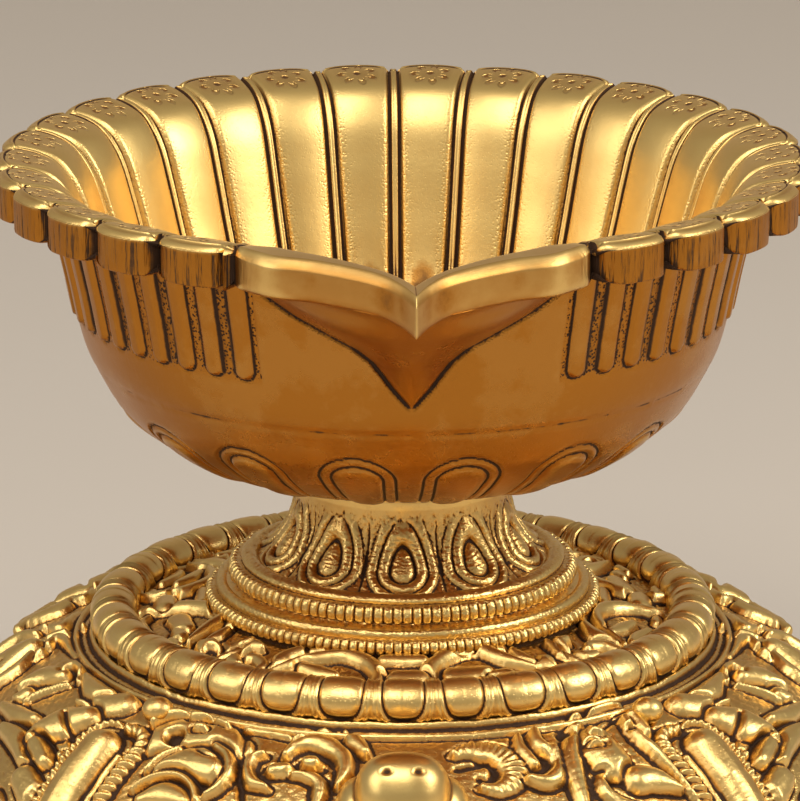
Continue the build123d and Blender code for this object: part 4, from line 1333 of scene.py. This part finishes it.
def model_moulding(sizes):
    """Tube of long barrel beads, each between two thin crescents."""
    columns_per_bead = 44
    ring = 43.0
    tube = 3.3
    bead_half = 2.75
    beads = sizes.beads
    azimuth = all_round(beads * columns_per_bead)
    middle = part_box("bead_reel_ring")[0][2] / MM + 1.9
    angle = np.radians(np.linspace(200, -62, 40))
    plain = np.stack((ring + tube * np.cos(angle), middle + tube * np.sin(angle)), axis=1)
    section = profile(plain, len(azimuth))
    pitch = 2 * np.pi * ring / beads
    draw = np.random.default_rng(8)
    shift = np.repeat(draw.uniform(-0.03, 0.03, beads), columns_per_bead)
    along = ((azimuth * beads / 360 + 0.5 + shift) % 1 - 0.5) * pitch
    over = (angle - np.radians(75))[:, None] * tube
    shape = (np.abs(along / bead_half)[None, :] ** 3 + np.abs(over / 5.6) ** 3) ** (1 / 3)
    depth = (shape - 1) * bead_half
    plump = np.repeat(draw.uniform(0.30, 0.50, beads), columns_per_bead)[None, :]
    bead = plump * np.clip(1 - np.clip(shape, 0, 1) ** 3, 0, 1) ** 0.6
    crescents = 0.30 * bump(depth - 0.62, 0.20) + 0.22 * bump(depth - 1.15, 0.18)
    lines = bump(depth - 0.22, 0.17)
    points = on_axis(azimuth, raised(section, bead + crescents - 0.30 * lines))
    deep = np.clip(recess(points, True, (3, 4), 0.4) + 0.45 * lines, -1, 1)
    # Painted shade: the lower outer side of the tube, which faces down, is made darker and more amber
    outside = ease(0.1, -0.6, angle)[:, None]
    deep = np.clip(deep + 0.45 * outside, -1, 1)
    return lay_sheet("bead_moulding", points, {"recess": deep, "warm": 0.12 + 0.2 * outside + 0 * deep})


def model_foot():
    """Lower belly, foot ring and the hollow underside of the base."""
    azimuth = all_round(240)
    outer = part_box("base_shell")[1][0] / MM
    roof_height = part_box("base_shell")[1][2] / MM - SHELL_WALL
    # Setback from the widest part of the base, and height
    belly = ((SKIN_INSET, BELLY_HEIGHT), (1.6, 9.0), (3.4, 6.4), (5.4, 5.2), (6.6, 4.6))
    ring = ((6.9, 3.4), (6.9, 0.6), (7.3, 0.05), (11.2, 0.05), (11.5, 0.5))
    wall = ((11.4, 4.6), (9.0, 7.0), (4.4, 11.0))
    outside = [(outer - setback, level) for setback, level in belly + ring + wall]
    hollow = [tuple(point) for point in dome_section(SHELL_WALL, np.linspace(1, 0, 16))]
    roof = [(24.0, roof_height), (6.2, roof_height), (6.15, roof_height + 3.0)]
    plain = outside + hollow + roof
    section = spline(profile(plain, len(azimuth)), np.linspace(0, len(plain) - 1, 3 * len(plain)))
    section[..., 1] = np.maximum(section[..., 1], 0.02)
    points = on_axis(azimuth, section)
    return lay_sheet("base_foot", points, {"recess": recess(points, True, (2, 2), 0.6)})


# Corner balls, in metres, and their stretch along each axis
BALL_RADIUS = 0.0021
BALL_RING = 0.0515
BALL_HEIGHT = 0.0395
BALL_STRETCH = (1.1, 1.0, 0.95)


def model_ball():
    """Round boss for a corner of the base, a little flattened, at the origin."""
    bpy.ops.object.select_all(action="DESELECT")
    bpy.ops.mesh.primitive_uv_sphere_add(segments=40, ring_count=24, radius=BALL_RADIUS)
    bpy.ops.transform.resize(value=BALL_STRETCH)
    bpy.ops.object.transform_apply(location=False, rotation=False, scale=True)
    bpy.ops.object.shade_smooth()
    return bpy.context.object


# Ovals that the head is joined from, in millimetres of its own axes: a middle and three half sizes
MUZZLE = ((0, 0.6, 4.4), (6.6, 5.6, 6.4))
BROW = ((0, 1.5, -3.0), (7.0, 5.5, 7.0))
CHEEK = ((6.0, -2.6, 0.4), (3.8, 5.8, 5.6))
# Place of a nostril in the same axes
NOSTRIL = (2.25, 2.9, 10.25)
# Middle of the head on the lamp, its tilt upwards in degrees, and a distance that lies outside its skin
HEAD_CENTRE = (0, -61.6, 34.4)
HEAD_LIFT = 25
HEAD_REACH = 22.0


def oval_reach(place, oval, side=1, power=2.0):
    """How far points lie out from the middle of an oval, where 1 is its skin."""
    middle, size = oval
    scaled = np.abs(place - np.array(middle) * (side, 1, 1)) / np.array(size)
    return np.sum(scaled**power, axis=1) ** (1 / power)


def muzzle_reach(place):
    """The muzzle is a little squarer than an oval."""
    return oval_reach(place, MUZZLE, power=2.4)


def nostril_slot(place, side, wide):
    """Share of a flat nostril at points, 1 in its middle."""
    flatten = (1, 1.6, 1)
    away = (place - np.array(NOSTRIL) * (side, 1, 1)) * flatten
    return np.exp(-((np.linalg.norm(away, axis=1) / wide) ** 2))


def head_shape(place):
    """Distance of points, in the head's own axes, from the skin of the head."""

    def join(first, second, soft):
        share = np.clip(0.5 + 0.5 * (second - first) / soft, 0, 1)
        return second * (1 - share) + first * share - soft * share * (1 - share)

    muzzle = (muzzle_reach(place) - 1) * min(MUZZLE[1])
    brow = (oval_reach(place, BROW) - 1) * min(BROW[1])
    skin = join(muzzle, brow, 1.5)
    for side in (1, -1):
        cheek = (oval_reach(place, CHEEK, side) - 1) * min(CHEEK[1])
        skin = join(skin, cheek, 0.5)
        skin = skin + 0.6 * nostril_slot(place, side, 0.6)
    return skin


def model_head():
    """Smooth animal head, found along rays from its middle."""
    bpy.ops.object.select_all(action="DESELECT")
    bpy.ops.mesh.primitive_uv_sphere_add(segments=160, ring_count=110, radius=1.0)
    piece = bpy.context.object
    piece.name = "animal_head_skin"
    mesh = piece.data
    ray = np.empty(len(mesh.vertices) * 3)
    mesh.vertices.foreach_get("co", ray)
    ray = ray.reshape(-1, 3)
    start = np.array((0, 0, 0.5))
    near = np.zeros(len(ray))
    far = np.full(len(ray), HEAD_REACH)
    for halving in range(30):
        middle = (near + far) / 2
        inside = head_shape(start + ray * middle[:, None]) < 0
        near = np.where(inside, middle, near)
        far = np.where(inside, far, middle)
    local = start + ray * near[:, None]
    lift = math.radians(HEAD_LIFT)
    across = np.array((1, 0, 0))
    up = np.array((0, math.sin(lift), math.cos(lift)))
    out = np.array((0, -math.cos(lift), math.sin(lift)))
    place = np.array(HEAD_CENTRE) + local @ np.array((across, up, out))
    mesh.vertices.foreach_set("co", (place * MM).ravel())
    crease = np.zeros(len(local))
    seam_width = 0.07
    for side in (1, -1):
        crease += 1.4 * nostril_slot(local, side, 0.65)
        muzzle = (muzzle_reach(local) - 1) / seam_width
        cheek = (oval_reach(local, CHEEK, side) - 1) / seam_width
        crease += 0.9 * np.exp(-(muzzle**2) - cheek**2)
    layer = mesh.attributes.new("recess", "FLOAT", "POINT")
    layer.data.foreach_set("value", np.clip(crease, 0, 1))
    mesh.update()
    bpy.ops.object.shade_smooth()
    return piece


class LAMP_OT_base(bpy.types.Operator):
    """Model the ornate base with its moulding, balls and foot"""

    bl_idname = "lamp.base"
    bl_label = "Base"

    def execute(self, context):
        sizes = context.scene.lamp_base
        front = math.degrees(sizes.tongue_turn)
        for half, rope, leaf, turns in (
            (front, True, False, (0,)),
            (front, True, True, (180,)),
            (90 - front, False, True, (90, 270)),
        ):
            points, marks = model_dome_face(sizes, half, rope, leaf)
            for degrees in turns:
                piece = lay_sheet(f"dome_face_{degrees}", turned(points, degrees), marks, wrap=False)
                finish_piece(piece, "base", ["base_shell", "corner_tongues"], "cast_brass")
        points, marks = model_channel_face()
        for degrees in (0, 90, 180, 270):
            piece = lay_sheet(f"channel_{degrees}", turned(points, degrees), marks, wrap=False)
            finish_piece(piece, "base", ["base_shell"], "cast_brass")
        finish_piece(model_moulding(sizes), "base", ["bead_reel_ring"], "cast_brass")
        finish_piece(model_foot(), "base", ["base_shell"], "cast_brass")
        self.set_balls(context, sizes.ball_turn)
        return {"FINISHED"}

    def set_balls(self, context, off):
        """One ball at each corner, each with its own mesh."""
        ball = model_ball()
        copies = [ball.copy() for number in range(3)]
        for copy in copies:
            copy.data = ball.data.copy()
            context.collection.objects.link(copy)
        angles = (off, math.pi - off, -off, off - math.pi)
        for number, (piece, angle) in enumerate(zip((*copies, ball), angles), 1):
            piece.name = f"corner_ball_{number}"
            spot = Vector((math.sin(angle) * BALL_RING, -math.cos(angle) * BALL_RING, BALL_HEIGHT))
            for vertex in piece.data.vertices:
                vertex.co += spot
            finish_piece(piece, "base", ["corner_balls"], "cast_brass")


class LAMP_OT_head(bpy.types.Operator):
    """Model the animal head at the front"""

    bl_idname = "lamp.head"
    bl_label = "Animal head"

    def execute(self, context):
        finish_piece(model_head(), "base", ["animal_head"], "head_brass")
        return {"FINISHED"}


class LAMP_OT_fixings(bpy.types.Operator):
    """Give the hidden fixings of the part their turned brass finish"""

    bl_idname = "lamp.fixings"
    bl_label = "Fixings"

    def execute(self, context):
        for name in ("bowl_stud", "head_pin", "clamp_washer", "clamp_nut"):
            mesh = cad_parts[name].data
            mesh.materials.clear()
            mesh.materials.append(bpy.data.materials["fixing_brass"])
        return {"FINISHED"}


# Stage
def model_floor(colours):
    """Pale floor that bends up into the backdrop."""
    floor_size = 2.4
    backdrop_rise = (0, 0.1, 1.6)
    bpy.ops.object.select_all(action="DESELECT")
    bpy.ops.mesh.primitive_plane_add(size=floor_size, location=(0, 0, 0))
    floor = bpy.context.object
    floor.name = "floor"
    bpy.ops.object.mode_set(mode="EDIT")
    bpy.ops.mesh.select_mode(type="EDGE")
    bpy.ops.mesh.select_all(action="DESELECT")
    bpy.ops.object.mode_set(mode="OBJECT")
    for line in floor.data.edges:
        ends = [floor.data.vertices[i].co for i in line.vertices]
        line.select = min(end.y for end in ends) > 1
    bpy.ops.object.mode_set(mode="EDIT")
    bpy.ops.mesh.extrude_region_move(TRANSFORM_OT_translate={"value": backdrop_rise})
    bpy.ops.object.mode_set(mode="OBJECT")
    bend = floor.modifiers.new("bend", "BEVEL")
    bend.limit_method = "ANGLE"
    bend.width = 0.3
    bend.segments = 10
    bpy.ops.object.modifier_apply(modifier="bend")
    bpy.ops.object.shade_smooth()
    material = bpy.data.materials.new("pale_floor")
    material.use_nodes = True
    tree = material.node_tree
    shader = tree.nodes["Principled BSDF"]
    shader.inputs["Roughness"].default_value = 0.8
    pale = (*colours.floor, 1)
    warm = (colours.floor[0] * 0.97, colours.floor[1] * 0.96, colours.floor[2] * 0.95, 1)
    tree.links.new(shade_mix(tree, noise(tree, 6, 2), pale, warm), shader.inputs["Base Color"])
    floor.data.materials.append(material)
    return floor


def look_at(looker, target):
    """Turn a lamp or a camera towards a place."""
    looker.rotation_euler = (target - looker.location).to_track_quat("-Z", "Y").to_euler()


# Lamps: name, place in metres, size in metres, power in watts and tint
LAMPS = (
    ("key", (-0.15, -0.55, 0.95), 0.65, 5.5, (1.0, 0.97, 0.93)),
    ("side", (0.80, -0.25, 0.62), 0.50, 5.0, (1.0, 0.98, 0.95)),
    ("fill", (-0.80, -0.35, 0.60), 0.60, 2.6, (1.0, 0.97, 0.94)),
)
LAMP_TARGET = Vector((0, 0, 0.07))
ROOM_COLOUR = (0.95, 0.90, 0.82, 1)
ROOM_STRENGTH = 0.36


class LAMP_OT_stage(bpy.types.Operator):
    """Add the floor, the backdrop, the lamps and the camera"""

    bl_idname = "lamp.stage"
    bl_label = "Stage"

    def execute(self, context):
        floor = model_floor(context.scene.lamp_colours)
        for name, place, size, power, tint in LAMPS:
            bpy.ops.object.light_add(type="AREA", location=place)
            lamp = context.object
            lamp.name = name
            lamp.data.shape = "SQUARE"
            lamp.data.size = size
            lamp.data.energy = power
            lamp.data.color = tint
            look_at(lamp, LAMP_TARGET)
        world = bpy.data.worlds.new("room")
        context.scene.world = world
        world.use_nodes = True
        sky = world.node_tree.nodes["Background"]
        sky.inputs["Color"].default_value = ROOM_COLOUR
        sky.inputs["Strength"].default_value = ROOM_STRENGTH
        bpy.ops.object.camera_add(location=Vector(CAMERA_EYE) * MM)
        camera = context.object
        camera.name = "camera"
        camera.data.sensor_fit = "HORIZONTAL"
        camera.data.sensor_width = SENSOR_WIDTH
        camera.data.lens = CAMERA_LENS
        look_at(camera, Vector(CAMERA_AIM) * MM)
        context.scene.camera = camera
        context.scene.view_settings.view_transform = "Standard"
        return {"FINISHED"}


class LAMP_PT_panel(bpy.types.Panel):
    """Lists the steps that build the lamp"""

    bl_idname = "LAMP_PT_panel"
    bl_label = "Butter lamp"
    bl_space_type = "VIEW_3D"
    bl_region_type = "UI"
    bl_category = "Lamp"

    def draw(self, context):
        for operator in operators:
            self.layout.operator(operator.bl_idname)


groups = {"lamp_bowl": LampBowlSizes, "lamp_base": LampBaseSizes, "lamp_colours": LampColours}
operators = (LAMP_OT_bowl, LAMP_OT_neck, LAMP_OT_base, LAMP_OT_head, LAMP_OT_fixings, LAMP_OT_stage)


def register():
    for entry in (*groups.values(), *operators, LAMP_PT_panel):
        bpy.utils.register_class(entry)
    for name, entry in groups.items():
        setattr(bpy.types.Scene, name, PointerProperty(type=entry))


def unregister():
    for name in groups:
        delattr(bpy.types.Scene, name)
    for entry in (*groups.values(), *operators, LAMP_PT_panel):
        bpy.utils.unregister_class(entry)


def main():
    register()
    make_materials(bpy.context.scene.lamp_colours)
    bpy.ops.lamp.bowl()
    bpy.ops.lamp.neck()
    bpy.ops.lamp.base()
    bpy.ops.lamp.head()
    bpy.ops.lamp.fixings()
    bpy.ops.lamp.stage()


if __name__ == "__main__":
    main()
